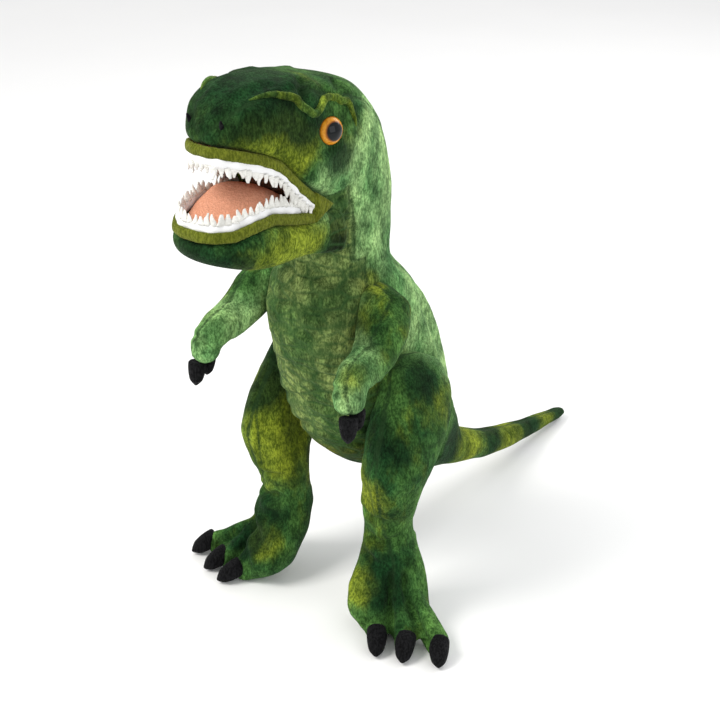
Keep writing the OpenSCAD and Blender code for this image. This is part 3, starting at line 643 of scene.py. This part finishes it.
# %% One axial skin
trunk_nodes = ["torso_left_panel", "torso_right_panel", "belly_panel", "torso_filling"]
head_nodes = ["head_left_panel", "head_right_panel", "crown_gusset", "throat_panel", "head_filling",
              "palate"]
jaw_nodes = ["jaw_cover", "jaw_filling", "mouth_lining"]
tail_nodes = ["tail_left_panel", "tail_right_panel", "tail_filling"]
cheek = [at(s * x, y, z) for s in (1, -1) for x, y, z in
         ((42, -84, 381), (43, -84, 412), (28, -84, 379), (45, -44, 420), (45, -44, 374), (28, -44, 370))]
rump = [at(s * x, y, z) for s in (1, -1) for x, y, z in
        ((32, 138, 166), (20, 147, 152), (22, 166, 104), (12, 190, 90), (34, 120, 112), (36, 124, 150))]
bag = soft_skin("bag", trunk_nodes + head_nodes + jaw_nodes + tail_nodes, 0.0026, 0, [cheek, rump])
print("bag has", len(bag.data.vertices), "points")

# %% [markdown]
# Smoothing pulls a thin tube in faster than a wide one, so the tail's end is held. The grip is a number
# for each point: 1 relaxes freely and 0 stays.

# %% Relax the bag
place = points_of(bag.data)
back = (place[:, 1] - at(0, 150, 0)[1]) / 0.27
grip = np.clip(1.0 - 0.85 * np.clip(back, 0, 1), 0.12, 1)
relaxed(bag.data, 34, 0.5, grip)
print("bag relaxed, box", np.round(points_of(bag.data).min(0), 3), np.round(points_of(bag.data).max(0), 3))


# %% Which panel each point lies on
def panel_marks(obj, groups):
    trees = []
    for nodes in groups:
        work = bmesh.new()
        for node in nodes:
            work.from_mesh(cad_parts[node].data)
        trees.append(BVHTree.FromBMesh(work))
        work.free()
    return np.array([[t.find_nearest(Vector(p))[3] for t in trees] for p in points_of(obj.data)])


cover_groups = [["torso_left_panel", "head_left_panel", "tail_left_panel"],
                ["torso_right_panel", "head_right_panel", "tail_right_panel"],
                ["belly_panel", "throat_panel"], ["crown_gusset"], ["jaw_cover"]]
reach = panel_marks(bag, cover_groups)
ranked = np.sort(reach, 1)
seam_gap = ranked[:, 1] - ranked[:, 0]
belly_share = np.clip((np.minimum(reach[:, 0], reach[:, 1]) - reach[:, 2]) / 0.006 + 0.5, 0, 1)
for places in ([(46, -44, 421), (47, -42, 398), (46, -40, 374), (45, -38, 348)],
               [(46, -66, 420), (47, -54, 422), (46, -44, 421)]):
    for mirror in (1, -1):
        path = path_on(bag, places, mirror)
        seam_gap = np.minimum(seam_gap, distance_to(points_of(bag.data), path)[0])
print("seam points", int((seam_gap < 0.002).sum()), "belly points", int((belly_share > 0.5).sum()))

# %% [markdown]
# Every seam is pulled in by its thread, about a millimetre, with soft shoulders.

# %% Sewn seams on the bag
pull = -0.0013 * np.exp(-(seam_gap / 0.0026) ** 2)
pull += 0.0004 * np.exp(-((seam_gap - 0.006) / 0.003) ** 2)
pushed(bag, pull)
print("deepest seam", round(float(-pull.min()) * 1000, 2), "mm")

# %% Folds of the head and body
bag_folds = [
    ([(46, -66, 420), (48, -52, 412), (47, -40, 396), (46, -34, 378)], 0.0026, 0.0032),
    ([(47, -64, 472), (50, -76, 466), (49, -88, 470)], 0.0018, 0.0028),
    ([(50, -56, 488), (50, -50, 474), (51, -50, 458)], 0.0012, 0.004),
    ([(50, -84, 462), (49, -80, 450), (49, -70, 441)], 0.0014, 0.003),
    ([(45, -98, 506), (36, -84, 521), (20, -72, 526)], 0.0044, 0.0042),
    ([(47, -52, 506), (36, -40, 512), (18, -30, 512)], 0.0042, 0.0048),
    ([(14, -150, 512), (22, -128, 521), (24, -104, 525)], 0.0022, 0.0042),
    ([(0, -57, 352), (22, -57, 350), (40, -44, 346), (50, -24, 344)], 0.0022, 0.006),
    ([(0, -62, 322), (26, -58, 318), (44, -46, 320)], 0.0026, 0.0042),
    ([(0, -68, 300), (24, -66, 296), (42, -54, 292)], 0.0018, 0.0034),
    ([(0, -66, 262), (24, -62, 256), (46, -44, 250)], 0.0022, 0.0040),
    ([(0, -55, 226), (26, -50, 218), (48, -30, 210)], 0.0026, 0.0042),
    ([(0, -40, 192), (24, -36, 184), (46, -16, 178)], 0.0024, 0.0042),
    ([(50, 52, 300), (54, 70, 268), (52, 92, 230)], 0.0028, 0.0060),
    ([(46, 30, 352), (44, 38, 338), (30, 46, 326)], 0.0016, 0.006),
]
for places, depth, width in bag_folds:
    fold(bag, places, depth, width)
lumps(bag, 0.040, 0.0011, 3.0)
lumps(bag, 0.016, 0.0005, 9.0, (0.6, 0.6, 1.6))
print("folds pressed into the bag")

# %% [markdown]
# ## Where each shade of dye gathers
#
# Each cloud is a soft ball: a place, a reach, and how much of which shade. The same list dyes every
# skin, so a cloud that starts on the body runs on over the thigh, as it does on the cloth.

# %% Dye clouds
deep_clouds = [(0, -150, 516, 36), (24, -142, 512, 24), (30, -96, 522, 30), (46, -96, 494, 22),
               (0, -180, 404, 28), (32, -160, 390, 16), (48, -60, 458, 18), (44, -60, 380, 20),
               (76, 12, 240, 24), (60, -36, 214, 20), (80, -26, 186, 20), (74, -20, 130, 20),
               (64, -20, 74, 18), (0, 420, 8, 40), (30, 150, 96, 30), (0, 250, 52, 26), (0, 330, 26, 24),
               (-60, -30, 236, 24), (-84, -44, 50, 24), (84, -44, 50, 26), (66, -30, 300, 20)]
olive_clouds = [(38, -132, 482, 34), (44, -106, 476, 26), (40, -130, 388, 32), (44, -92, 398, 22),
                (-78, -10, 190, 46), (-70, 0, 110, 30), (60, -30, 150, 24), (78, 24, 210, 26),
                (0, -20, 176, 34), (0, 200, 70, 40), (0, 290, 36, 34), (0, 376, 16, 26),
                (74, -84, 284, 16), (-74, -84, 284, 18), (50, -30, 250, 16), (62, -46, 46, 20),
                (52, -20, 338, 12), (0, -60, 236, 22), (52, 60, 230, 20)]
pale_clouds = [(50, -30, 430, 34), (46, 16, 470, 36), (0, 30, 440, 62), (0, 40, 372, 52), (40, 30, 376, 36),
               (0, -60, 300, 46), (0, -60, 250, 46), (20, -56, 350, 34), (0, 110, 300, 70),
               (50, 60, 290, 44), (56, 90, 230, 44), (80, -90, 262, 22), (-80, -90, 262, 22),
               (48, -70, 436, 24), (70, -66, 290, 20), (0, -40, 200, 40), (50, -120, 400, 0.1)]


def dyed(obj, belly=None, seam=None):
    points = points_of(obj.data) * 1000
    points[:, 1] -= shift * 1000

    def gathered(clouds):
        total = np.zeros(len(points))
        for x, y, z, reach_mm in clouds:
            for mirror in ((1, -1) if x > 0 else (1,)):
                offset = points - np.array((mirror * x, y, z))
                total += np.exp(-((offset ** 2).sum(1)) / (reach_mm ** 2))
        return np.clip(total, 0, 1)

    values = {"deep": gathered(deep_clouds), "olive": gathered(olive_clouds), "pale": gathered(pale_clouds),
              "belly": np.zeros(len(points)) if belly is None else belly,
              "seam": np.full(len(points), 0.03) if seam is None else seam}
    for name, value in values.items():
        layer = obj.data.attributes.new(name, "FLOAT", "POINT")
        layer.data.foreach_set("value", np.asarray(value, np.float32))


dyed(bag, belly_share, seam_gap)
print("dye clouds:", len(deep_clouds), "deep,", len(olive_clouds), "olive,", len(pale_clouds), "pale")

# %% [markdown]
# ## Cutting the bag at its joints
#
# Four cuts: the neck, the tail's root, and two for the jaw. Each cut adds points on its own plane, so
# both sides share them exactly, and the direction of the surface is noted before the cut. That keeps
# the shading whole across it, and a piece that bends starts bending only past its cut.

# %% Cutting planes
neck_cut = at(0, 0, 342)
tail_axis = np.array((0, 72, -38)) / math.hypot(72, 38)
tail_cut = at(0, 122, 106) + 0.010 * tail_axis
jaw_cut = at(0, -68, 0)
gap_point, gap_normal = at(0, -68, 421), np.array((0, 0.2, 1.0))


def cut(obj, point, normal, wanted):
    with opened(obj.data) as work:
        faces = [f for f in work.faces if wanted(f.calc_center_median())]
        around = set(faces) | {e for f in faces for e in f.edges} | {v for f in faces for v in f.verts}
        bmesh.ops.bisect_plane(work, geom=list(around), plane_co=tuple(point), plane_no=tuple(normal),
                               dist=1e-6)


cut(bag, neck_cut, (0, 0, 1), lambda c: abs(c.z - neck_cut[2]) < 0.01)
cut(bag, tail_cut, tail_axis, lambda c: c.y > at(0, 80, 0)[1] and c.z < 0.2)
cut(bag, jaw_cut, (0, 1, 0), lambda c: c.z > 0.35 and c.z < 0.45 and abs(c.y - jaw_cut[1]) < 0.01)
cut(bag, gap_point, gap_normal, lambda c: c.z > 0.39 and c.y < jaw_cut[1] + 0.001)
print("bag cut, now", len(bag.data.polygons), "faces")


# %% Parting the pieces
def region(centre):
    if (centre - tail_cut) @ tail_axis > 0 and centre[1] > at(0, 80, 0)[1]:
        return "tail"
    if centre[2] < neck_cut[2]:
        return "torso"
    if centre[1] < jaw_cut[1] and (centre - gap_point) @ gap_normal < 0:
        return "jaw"
    return "head"


def parted(obj, key, finish):
    mesh = obj.data
    names = [region(c) for c in listed(mesh.polygons, "center").astype(float)]
    normals = normals_of(mesh)
    work = bmesh.new()
    work.from_mesh(mesh)
    mark = work.verts.layers.int.new("from")
    for v in work.verts:
        v[mark] = v.index
    work.faces.ensure_lookup_table()
    bmesh.ops.delete(work, geom=[f for f in work.faces if names[f.index] != key], context="FACES")
    rim = [e for e in work.edges if e.is_boundary]
    bmesh.ops.holes_fill(work, edges=rim, sides=0)
    origin = [v[mark] for v in work.verts]
    made = bpy.data.meshes.new(key + "_cover")
    work.to_mesh(made)
    work.free()
    made.attributes.remove(made.attributes["from"])
    piece = stood(key + "_cover", made)
    dress(piece, finish)
    made.normals_split_custom_set_from_vertices([tuple(normals[i]) for i in origin])
    return piece


torso_cover = parted(bag, "torso", belly_pile)
head_cover = parted(bag, "head", belly_pile)
jaw_cover = parted(bag, "jaw", green_pile)
tail_cover = parted(bag, "tail", green_pile)
bpy.data.objects.remove(bag)
for piece in (torso_cover, head_cover, jaw_cover, tail_cover):
    print(piece.name, len(piece.data.polygons), "faces")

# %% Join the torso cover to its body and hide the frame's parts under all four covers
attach(torso_cover, "torso")
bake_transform(head_cover)
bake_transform(jaw_cover)
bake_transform(tail_cover)
fitted(torso_cover, "green_pile", 0.8, *trunk_nodes)
fitted(head_cover, "green_pile", 0.8, *head_nodes[:-1])
fitted(jaw_cover, "green_pile", 0.8, *jaw_nodes[:-1])
fitted(tail_cover, "green_pile", 0.8, *tail_nodes)

# %% [markdown]
# ## Arms and legs
#
# Each limb is its own bag, sewn flat against the body. Its root is pushed a few millimetres into the
# flank, so the seam closes round it while the limb still turns about its pin.


# %% Limb skins
LEG_OUT, LEG_BACK = 64.5, -9
FLANK = 0.0525


def limb(kind, side, step, times, extra=(), grip=None):
    nodes = [f"{kind}_{side}_{part}" for part in ("outer_panel", "inner_panel", "filling")]
    if kind == "leg":
        nodes += [f"pellet_bag_{side}"] + [f"toe_{side}_{toe}" for toe in ("inner", "middle", "outer")]
    skin = soft_skin(f"{kind}_{side}_cover", nodes, step, times, extra, grip=grip)
    return skin, nodes


def root_sunk(skin, sign, sink, reach_mm):
    points = points_of(skin.data)
    share = rounded(np.clip(1 - (np.abs(points[:, 0]) - FLANK) / (reach_mm / 1000), 0, 1))
    points[:, 0] -= sign * sink * share
    set_points(skin.data, points)


def toe_roll(sign, yaw, start, stop, top, low, wide, narrow):
    corners = []
    for reach_mm, height, radius in ((start, top, wide), (stop, low, narrow)):
        middle = at(sign * (LEG_OUT + reach_mm * math.sin(yaw)), LEG_BACK - reach_mm * math.cos(yaw),
                    height)
        for ring in range(1, 8):
            for turn in range(16):
                a, b = math.pi * ring / 8, 2 * math.pi * turn / 16
                spot = (math.sin(a) * math.cos(b), math.sin(a) * math.sin(b), math.cos(a))
                corners.append(middle + radius / 1000 * np.array(spot))
    return corners


limbs = {}
for side, sign in sides.items():
    arm, arm_nodes = limb("arm", side, 0.0020, 16)
    toes = [toe_roll(sign, math.radians(yaw), 14, stop, 40, 14, 15, 11.5)
            for yaw, stop in ((20, 41), (50, 48), (74, 64))]
    leg, leg_nodes = limb("leg", side, 0.0023, 24, toes,
                          lambda p: np.clip((p[:, 2] - 0.03) / 0.05, 0.22, 1))
    limbs["arm", side], limbs["leg", side] = (arm, arm_nodes, sign), (leg, leg_nodes, sign)
print("limb skins:", {f"{k[0]} {k[1]}": len(v[0].data.vertices) for k, v in limbs.items()})


# %% Folds of the arms and legs
arm_folds = [([(62, -44, 300), (74, -56, 298), (80, -62, 296)], 0.0022, 0.0028),
             ([(66, -56, 274), (76, -62, 272), (88, -62, 278)], 0.0020, 0.0030),
             ([(70, -80, 268), (78, -92, 276), (90, -88, 274)], 0.0016, 0.0028)]
leg_folds = [([(50, -24, 97), (62, -36, 90), (76, -32, 92), (86, -16, 99)], 0.0050, 0.0042),
             ([(52, -20, 122), (64, -36, 116), (80, -28, 119)], 0.0026, 0.0040),
             ([(54, -24, 76), (66, -38, 70), (82, -28, 74)], 0.0024, 0.0036),
             ([(52, 12, 100), (70, 16, 92), (84, 8, 98)], 0.0030, 0.0045)]
for (kind, side), (skin, nodes, sign) in limbs.items():
    for places, depth, width in arm_folds if kind == "arm" else leg_folds:
        fold(skin, places, depth, width, (sign,), 0.3)
    lumps(skin, 0.026, 0.0010, 5.0 if side == "left" else 8.0)
    lumps(skin, 0.011, 0.0004, 2.0, (0.7, 0.7, 1.5))
print("limb folds pressed")

# %% [markdown]
# The toes are three rolls sewn out of one foot, so a deep groove runs up the foot between each pair.
# A groove is pressed where the direction from the ankle matches the gap between two toes.

# %% Toe grooves
def toe_grooves(skin, sign, yaws, depth, width):
    points = points_of(skin.data)
    out = sign * points[:, 0] - LEG_OUT / 1000
    front = -(points[:, 1] - at(0, LEG_BACK, 0)[1])
    reach_out = np.hypot(out, front)
    angle = np.arctan2(out, front)
    move = np.zeros(len(points))
    for yaw in yaws:
        away = reach_out * np.abs(np.sin(angle - math.radians(yaw)))
        strength = np.clip((reach_out - 0.010) / 0.020, 0, 1)
        strength *= np.clip((0.074 - points[:, 2]) / 0.02, 0, 1)
        strength *= np.abs(angle - math.radians(yaw)) < 1.0
        move -= depth * strength * np.exp(-(away / width) ** 2)
        move += 0.25 * depth * strength * np.exp(-((away - 0.009) / 0.005) ** 2)
    pushed(skin, move)


for side, sign in sides.items():
    toe_grooves(limbs["leg", side][0], sign, (35, 62), 0.0080, 0.0036)
print("toe grooves pressed")

# %% Dye and fit the limbs
for (kind, side), (skin, nodes, sign) in limbs.items():
    reach = panel_marks(skin, [[f"{kind}_{side}_outer_panel"], [f"{kind}_{side}_inner_panel"]])
    gap = np.abs(reach[:, 0] - reach[:, 1])
    gap[np.maximum(reach[:, 0], reach[:, 1]) > 0.02] += 0.02
    low = points_of(skin.data)[:, 2] < 0.045
    gap[low] = 0.03
    if kind == "leg":
        seam_line = path_on(skin, [(57, -34, 242), (64, -44, 216), (66, -44, 190), (66, -38, 160),
                                   (66, -36, 128)], sign)
        gap = np.minimum(gap, distance_to(points_of(skin.data), seam_line)[0])
    pushed(skin, -0.0010 * np.exp(-(gap / 0.0022) ** 2))
    points = points_of(skin.data)
    points[:, 2] = np.maximum(points[:, 2], 0.0)
    set_points(skin.data, points)
    dyed(skin, None, gap)
    root_sunk(skin, sign, 0.006, 9)
    dress(skin, green_pile)
    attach(skin, f"{kind}_{side}")
    fitted(skin, "green_pile", 0.8, *nodes)
print("limbs dyed and joined")


# %% [markdown]
# ## Small sewn pieces
#
# Lips, tongue, mouth lining, palate and claws are small filled pieces. Each one is rounded from its
# own solid on a finer grid, and some are swollen a little, as filling does.


# %% Small pieces
def small_piece(name, nodes, body, finish, slot, step, times, swell=0.0, lift=0.0, squeeze=1.0):
    piece = soft_skin(name, nodes, step, times, swell=swell, one_shell=False)
    points = points_of(piece.data)
    middle = (points.min(0) + points.max(0)) / 2
    points = middle + (points - middle) * np.array((squeeze, squeeze, 1)) + np.array((0, 0, lift))
    set_points(piece.data, points)
    dress(piece, finish)
    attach(piece, body)
    fitted(piece, slot, 0.7, *nodes)
    return piece


for lip, body, squeeze in (("upper_lip", "head", 0.955), ("lower_lip", "jaw", 0.962)):
    small_piece(lip + "_roll", [lip], body, olive_pile, "olive_pile", 0.0009, 16, 0.0014, squeeze=squeeze)
tongue = small_piece("tongue_pad", ["tongue"], "jaw", salmon_pile, "salmon_pile", 0.0014, 14, 0.0008)
points = points_of(tongue.data)
low = points[:, 2].min()
run = np.clip((points[:, 1] - at(0, -176, 0)[1]) / 0.075, 0, 1)
points[:, 2] = low + (points[:, 2] - low) * (1 + 0.75 * rounded(run))
set_points(tongue.data, points)
small_piece("mouth_lining_pad", ["mouth_lining"], "jaw", salmon_pile, "salmon_pile", 0.0014, 6,
            lift=0.0024, squeeze=0.90)
# The palate pad wears the darkened salmon, which paints in the shade under the mouth's roof.
palate = small_piece("palate_pad", ["palate"], "head", shaded_palate_pile, "salmon_pile", 0.0014, 6,
                     lift=-0.0034, squeeze=0.88)
points = points_of(palate.data)
run = np.clip((points[:, 1] - at(0, -118, 0)[1]) / 0.03, 0, 1)
points[:, 0] *= 1 - 0.22 * run
front = np.clip((at(0, -138, 0)[1] - points[:, 1]) / 0.02, 0, 1)
points += front[:, None] * np.array((0, 0.005, -0.0035))
set_points(palate.data, points)
for side in sides:
    small_piece(f"foot_claws_{side}_soft", [f"foot_claws_{side}"], f"leg_{side}", claw_cloth, "claw_cloth",
                0.0010, 6, 0.0014)
    for end in ("front", "rear"):
        small_piece(f"hand_claw_{side}_{end}_soft", [f"hand_claw_{side}_{end}"], f"arm_{side}", claw_cloth,
                    "claw_cloth", 0.0008, 5, 0.0009)
print("small pieces rounded")

# %% [markdown]
# The brow is a tuck: the crown's cloth is folded over and sewn down, so it stands up as a roll that
# dips in a notch in front of the eye. It is swept along a path laid on the finished skin, so it sits on
# it everywhere.


# %% Brow tucks
def rolled_tuck(name, places, sign, radius, rise):
    line = smooth_path([at(sign * x, y, z) for x, y, z in places], 0.0022)
    surface = BVHTree.FromObject(head_cover, bpy.context.evaluated_depsgraph_get())
    rings, count = [], 12
    hits = [surface.find_nearest(Vector(p)) for p in line]
    run = np.gradient(np.array([tuple(h[0]) for h in hits]), axis=0)
    for i, (hit, step) in enumerate(zip(hits, run)):
        out = np.array(tuple(hit[1]))
        along = step / max(np.linalg.norm(step), 1e-9)
        across = np.cross(along, out)
        across /= np.linalg.norm(across)
        out = np.cross(across, along)
        end = min(i, len(line) - 1 - i) / (len(line) * 0.22)
        size = radius * math.sqrt(min(1.0, max(0.04, end)))
        size *= 1 + 0.10 * noise.noise(Vector(tuple(hit[0])) * 90)
        centre = np.array(tuple(hit[0])) + out * size * rise
        for k in range(count):
            a = 2 * math.pi * k / count
            rings.append(centre + size * (0.95 * math.cos(a) * across + 1.1 * math.sin(a) * out))
    return tube(name, rings, count)


brow_line = [(24, -136, 517), (31, -124, 521), (38, -110, 519), (43, -97, 508), (45.5, -88, 499),
             (47, -80, 501), (47, -70, 509), (46, -58, 511), (48, -46, 503), (49, -40, 490), (50, -38, 478)]
for side, sign in sides.items():
    tuck = rolled_tuck(f"brow_tuck_{side}", brow_line, sign, 0.0032, 0.30)
    dyed(tuck)
    count = len(tuck.data.vertices)
    for name, value in (("olive", 0.55), ("deep", 0.0)):
        tuck.data.attributes[name].data.foreach_set("value", np.full(count, value, np.float32))
    dress(tuck, green_pile)
    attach(tuck, "head")
    fitted(tuck, "green_pile", 0.6, f"brow_ridge_{side}")
    print(tuck.name, len(tuck.data.polygons), "faces")

# %% [markdown]
# ## Teeth
#
# The teeth are cut from white felt: an even band sewn under the lip, then a row of pointed teeth of
# uneven height. They repeat along a curve, which is what Geometry Nodes do best: one tooth is made,
# set along the gum line, turned across it, and scaled by a seeded random value.


# %% Gum lines
def sideways(line):
    run = np.gradient(line, axis=0)
    side = np.stack([-run[:, 1], run[:, 0], np.zeros(len(run))], 1)
    return side / np.linalg.norm(side, axis=1)[:, None]


def mouth_path(rows, inward):
    half = [at(x, y, z) for x, y, z in rows]
    line = np.array([p * np.array((-1, 1, 1)) for p in reversed(half)] + half)
    side = sideways(line)
    middle = line.mean(0)
    side *= np.sign(((middle - line) * side).sum(1))[:, None]
    return smooth_path(line + inward * side, 0.002)


upper_rows = [(8, -166, 477), (19, -160, 476), (29, -149, 473), (34, -134, 468), (38, -116, 459),
              (41, -96, 438), (43, -80, 424)]
lower_rows = [(9, -182, 424), (21, -177, 424), (31, -165, 424), (36, -147, 427), (38, -126, 428),
              (40, -104, 422), (41, -81, 417)]
upper_gum = mouth_path(upper_rows, 0.0030)
lower_gum = mouth_path(lower_rows, 0.0052)
print("gum lines", len(upper_gum), len(lower_gum), "points")


# %% Tooth row tree
def tooth_tree():
    tree = bpy.data.node_groups.new("tooth_row", "GeometryNodeTree")
    tree.interface.new_socket("Geometry", in_out="INPUT", socket_type="NodeSocketGeometry")
    for name, kind in (("Spacing", "Float"), ("Height", "Float"), ("Width", "Float"), ("Up", "Float"),
                       ("Seed", "Int"), ("Felt", "Material")):
        tree.interface.new_socket(name, in_out="INPUT", socket_type="NodeSocket" + kind)
    tree.interface.new_socket("Geometry", in_out="OUTPUT", socket_type="NodeSocketGeometry")
    source = put(tree, "NodeGroupInput")
    line, spacing, height, width, up, seed, felt = source.outputs[:7]
    curve = put(tree, "GeometryNodeMeshToCurve", Mesh=line).outputs[0]
    spots = put(tree, "GeometryNodeResampleCurve", {"mode": "LENGTH"}, Curve=curve,
                Length=spacing).outputs[0]
    run = put(tree, "GeometryNodeInputTangent").outputs[0]
    rise = put(tree, "ShaderNodeCombineXYZ", X=0.0, Y=0.0, Z=up).outputs[0]
    turned = put(tree, "FunctionNodeAxesToRotation", {"primary_axis": "Z", "secondary_axis": "X"},
                 Primary_Axis=rise, Secondary_Axis=run).outputs[0]
    lean = put(tree, "FunctionNodeRandomValue", {"data_type": "FLOAT_VECTOR"}, Seed=seed)
    lean.inputs[0].default_value, lean.inputs[1].default_value = (-0.20, -0.22, -0.3), (0.12, 0.22, 0.3)
    turn = put(tree, "FunctionNodeEulerToRotation", Euler=lean.outputs[0]).outputs[0]
    turned = put(tree, "FunctionNodeRotateRotation", {"rotation_space": "LOCAL"}, Rotation=turned,
                 Rotate_By=turn).outputs[0]
    cone = put(tree, "GeometryNodeMeshCone", Vertices=14, Side_Segments=5, Fill_Segments=2,
               Radius_Top=0.0009, Radius_Bottom=width, Depth=height)
    low = put(tree, "GeometryNodeTransform", Geometry=cone.outputs[0], Scale=(1.0, 0.52, 1.0)).outputs[0]
    size = put(tree, "FunctionNodeRandomValue", {"data_type": "FLOAT_VECTOR"},
               Seed=sums(tree, "ADD", seed, 7.0))
    size.inputs[0].default_value, size.inputs[1].default_value = (0.80, 0.9, 0.66), (1.15, 1.15, 1.12)
    row = put(tree, "GeometryNodeInstanceOnPoints", Points=spots, Instance=low, Rotation=turned,
              Scale=size.outputs[0]).outputs[0]
    solid = put(tree, "GeometryNodeRealizeInstances", Geometry=row).outputs[0]
    where = put(tree, "GeometryNodeInputPosition").outputs[0]
    ripple = put(tree, "ShaderNodeTexNoise", Vector=where, Scale=170.0, Detail=1.0).outputs["Color"]
    centred = vectors(tree, "SUBTRACT", i0=ripple, i1=(0.5, 0.5, 0.5))
    small = vectors(tree, "SCALE", i0=centred, Scale=0.0032)
    uneven = put(tree, "GeometryNodeSetPosition", Geometry=solid, Offset=small).outputs[0]
    smooth = put(tree, "GeometryNodeSetShadeSmooth", Geometry=uneven).outputs[0]
    painted_row = put(tree, "GeometryNodeSetMaterial", Geometry=smooth, Material=felt).outputs[0]
    tree.links.new(painted_row, put(tree, "NodeGroupOutput").inputs[0])
    return tree


tooth_row = tooth_tree()
print("tooth tree has", len(tooth_row.nodes), "nodes")


# %% Grow a row from a line
def grown(name, path, tree, settings):
    holder = mesh_object(name, path, [], [(i, i + 1) for i in range(len(path) - 1)])
    mesh = holder.data
    tool = holder.modifiers.new("grow", "NODES")
    tool.node_group = tree
    for item in tree.interface.items_tree:
        if item.in_out == "INPUT" and item.name in settings:
            tool[item.identifier] = settings[item.name]
    made = bpy.data.meshes.new_from_object(holder.evaluated_get(bpy.context.evaluated_depsgraph_get()))
    holder.modifiers.clear()
    holder.data = made
    bpy.data.meshes.remove(mesh)
    return holder


def felt_band(name, path, high, low, thick):
    rings, count = [], 10
    middle, half = (high + low) / 2, (high - low) / 2
    for i, (p, s) in enumerate(zip(path, sideways(path))):
        wave = 0.0006 * math.sin(i * 0.9) + 0.0004 * math.sin(i * 0.37 + 1)
        for k in range(count):
            a = 2 * math.pi * k / count
            up = np.array((0, 0, middle + half * math.sin(a)))
            rings.append(p + s * (thick * math.cos(a) + wave) + up)
    band = tube(name, rings, count)
    dress(band, white_felt)
    return band


def joined(name, first, second):
    with opened(first.data) as work:
        work.from_mesh(second.data)
    bpy.data.objects.remove(second)
    first.name = name
    return first


rows = (("upper_teeth", upper_gum, 0.0095, -1.0, 11, "head", (0.003, -0.0072)),
        ("lower_teeth", lower_gum, 0.0085, 1.0, 23, "jaw", (0.0062, -0.003)))
for node, path, height, up, seed, body, (high, low) in rows:
    tips = path + np.array((0, 0, low + 0.0012 if up < 0 else high - 0.0012))
    settings = {"Spacing": 0.0052, "Height": height, "Width": 0.0036, "Up": up, "Seed": seed,
                "Felt": white_felt}
    teeth = grown(node + "_felt", tips[4:-4], tooth_row, settings)
    band = felt_band(node + "_band", path[2:-2], high, low, 0.0021)
    teeth = joined(node + "_felt", teeth, band)
    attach(teeth, body)
    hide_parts(node)
    print(node, len(teeth.data.polygons), "faces")


# %% [markdown]
# Where the lips meet, a small olive gusset closes the mouth's corner.

# %% Mouth corners
for side, sign in sides.items():
    corners = [at(sign * x, y, z) for x, y, z in
               ((45, -84, 436), (47, -64, 421), (43.5, -84, 408),
                (35, -84, 436), (36, -64, 421), (34, -84, 408))]
    gusset = grid_remeshed(solids_joined(f"mouth_corner_{side}", [], [corners]), 0.0012)
    relaxed(gusset.data, 10)
    dress(gusset, olive_pile)
    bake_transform(gusset)
    fitted(gusset, "olive_pile", 0.6)
print("mouth corners closed")

# %% Nostrils
nostrils_soft = stood("nostril_patches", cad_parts["nostrils"].data.copy())
with opened(nostrils_soft.data) as work:
    bmesh.ops.remove_doubles(work, verts=work.verts, dist=1e-5)
set_points(nostrils_soft.data, points_of(nostrils_soft.data) + np.array((0, 0.0011, -0.0006)))
nostrils_soft.data.materials.clear()
nostrils_soft.data.materials.append(claw_cloth)
rounding = nostrils_soft.modifiers.new("round", "SUBSURF")
rounding.levels = rounding.render_levels = 2
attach(nostrils_soft, "head")
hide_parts("nostrils")
print("nostrils rounded")

# %% [markdown]
# ## Floor
#
# A wide pale floor with a faint unevenness in its tone, so that the shadow has something to fall on.

# %% Floor
floor = mesh_object("floor", [(-6, -6, 0), (6, -6, 0), (6, 6, 0), (-6, 6, 0)], [(0, 1, 2, 3)])
floor_paint, tree, shader, place = new_finish("pale_floor")
tone = speckle(tree, place, 3, 2, 0.5)
tree.links.new(blended(tree, tone, (0.86, 0.86, 0.86), (0.90, 0.90, 0.90)), shader.inputs["Base Color"])
shader.inputs["Roughness"].default_value = 0.9
floor.data.materials.append(floor_paint)
print("floor laid")
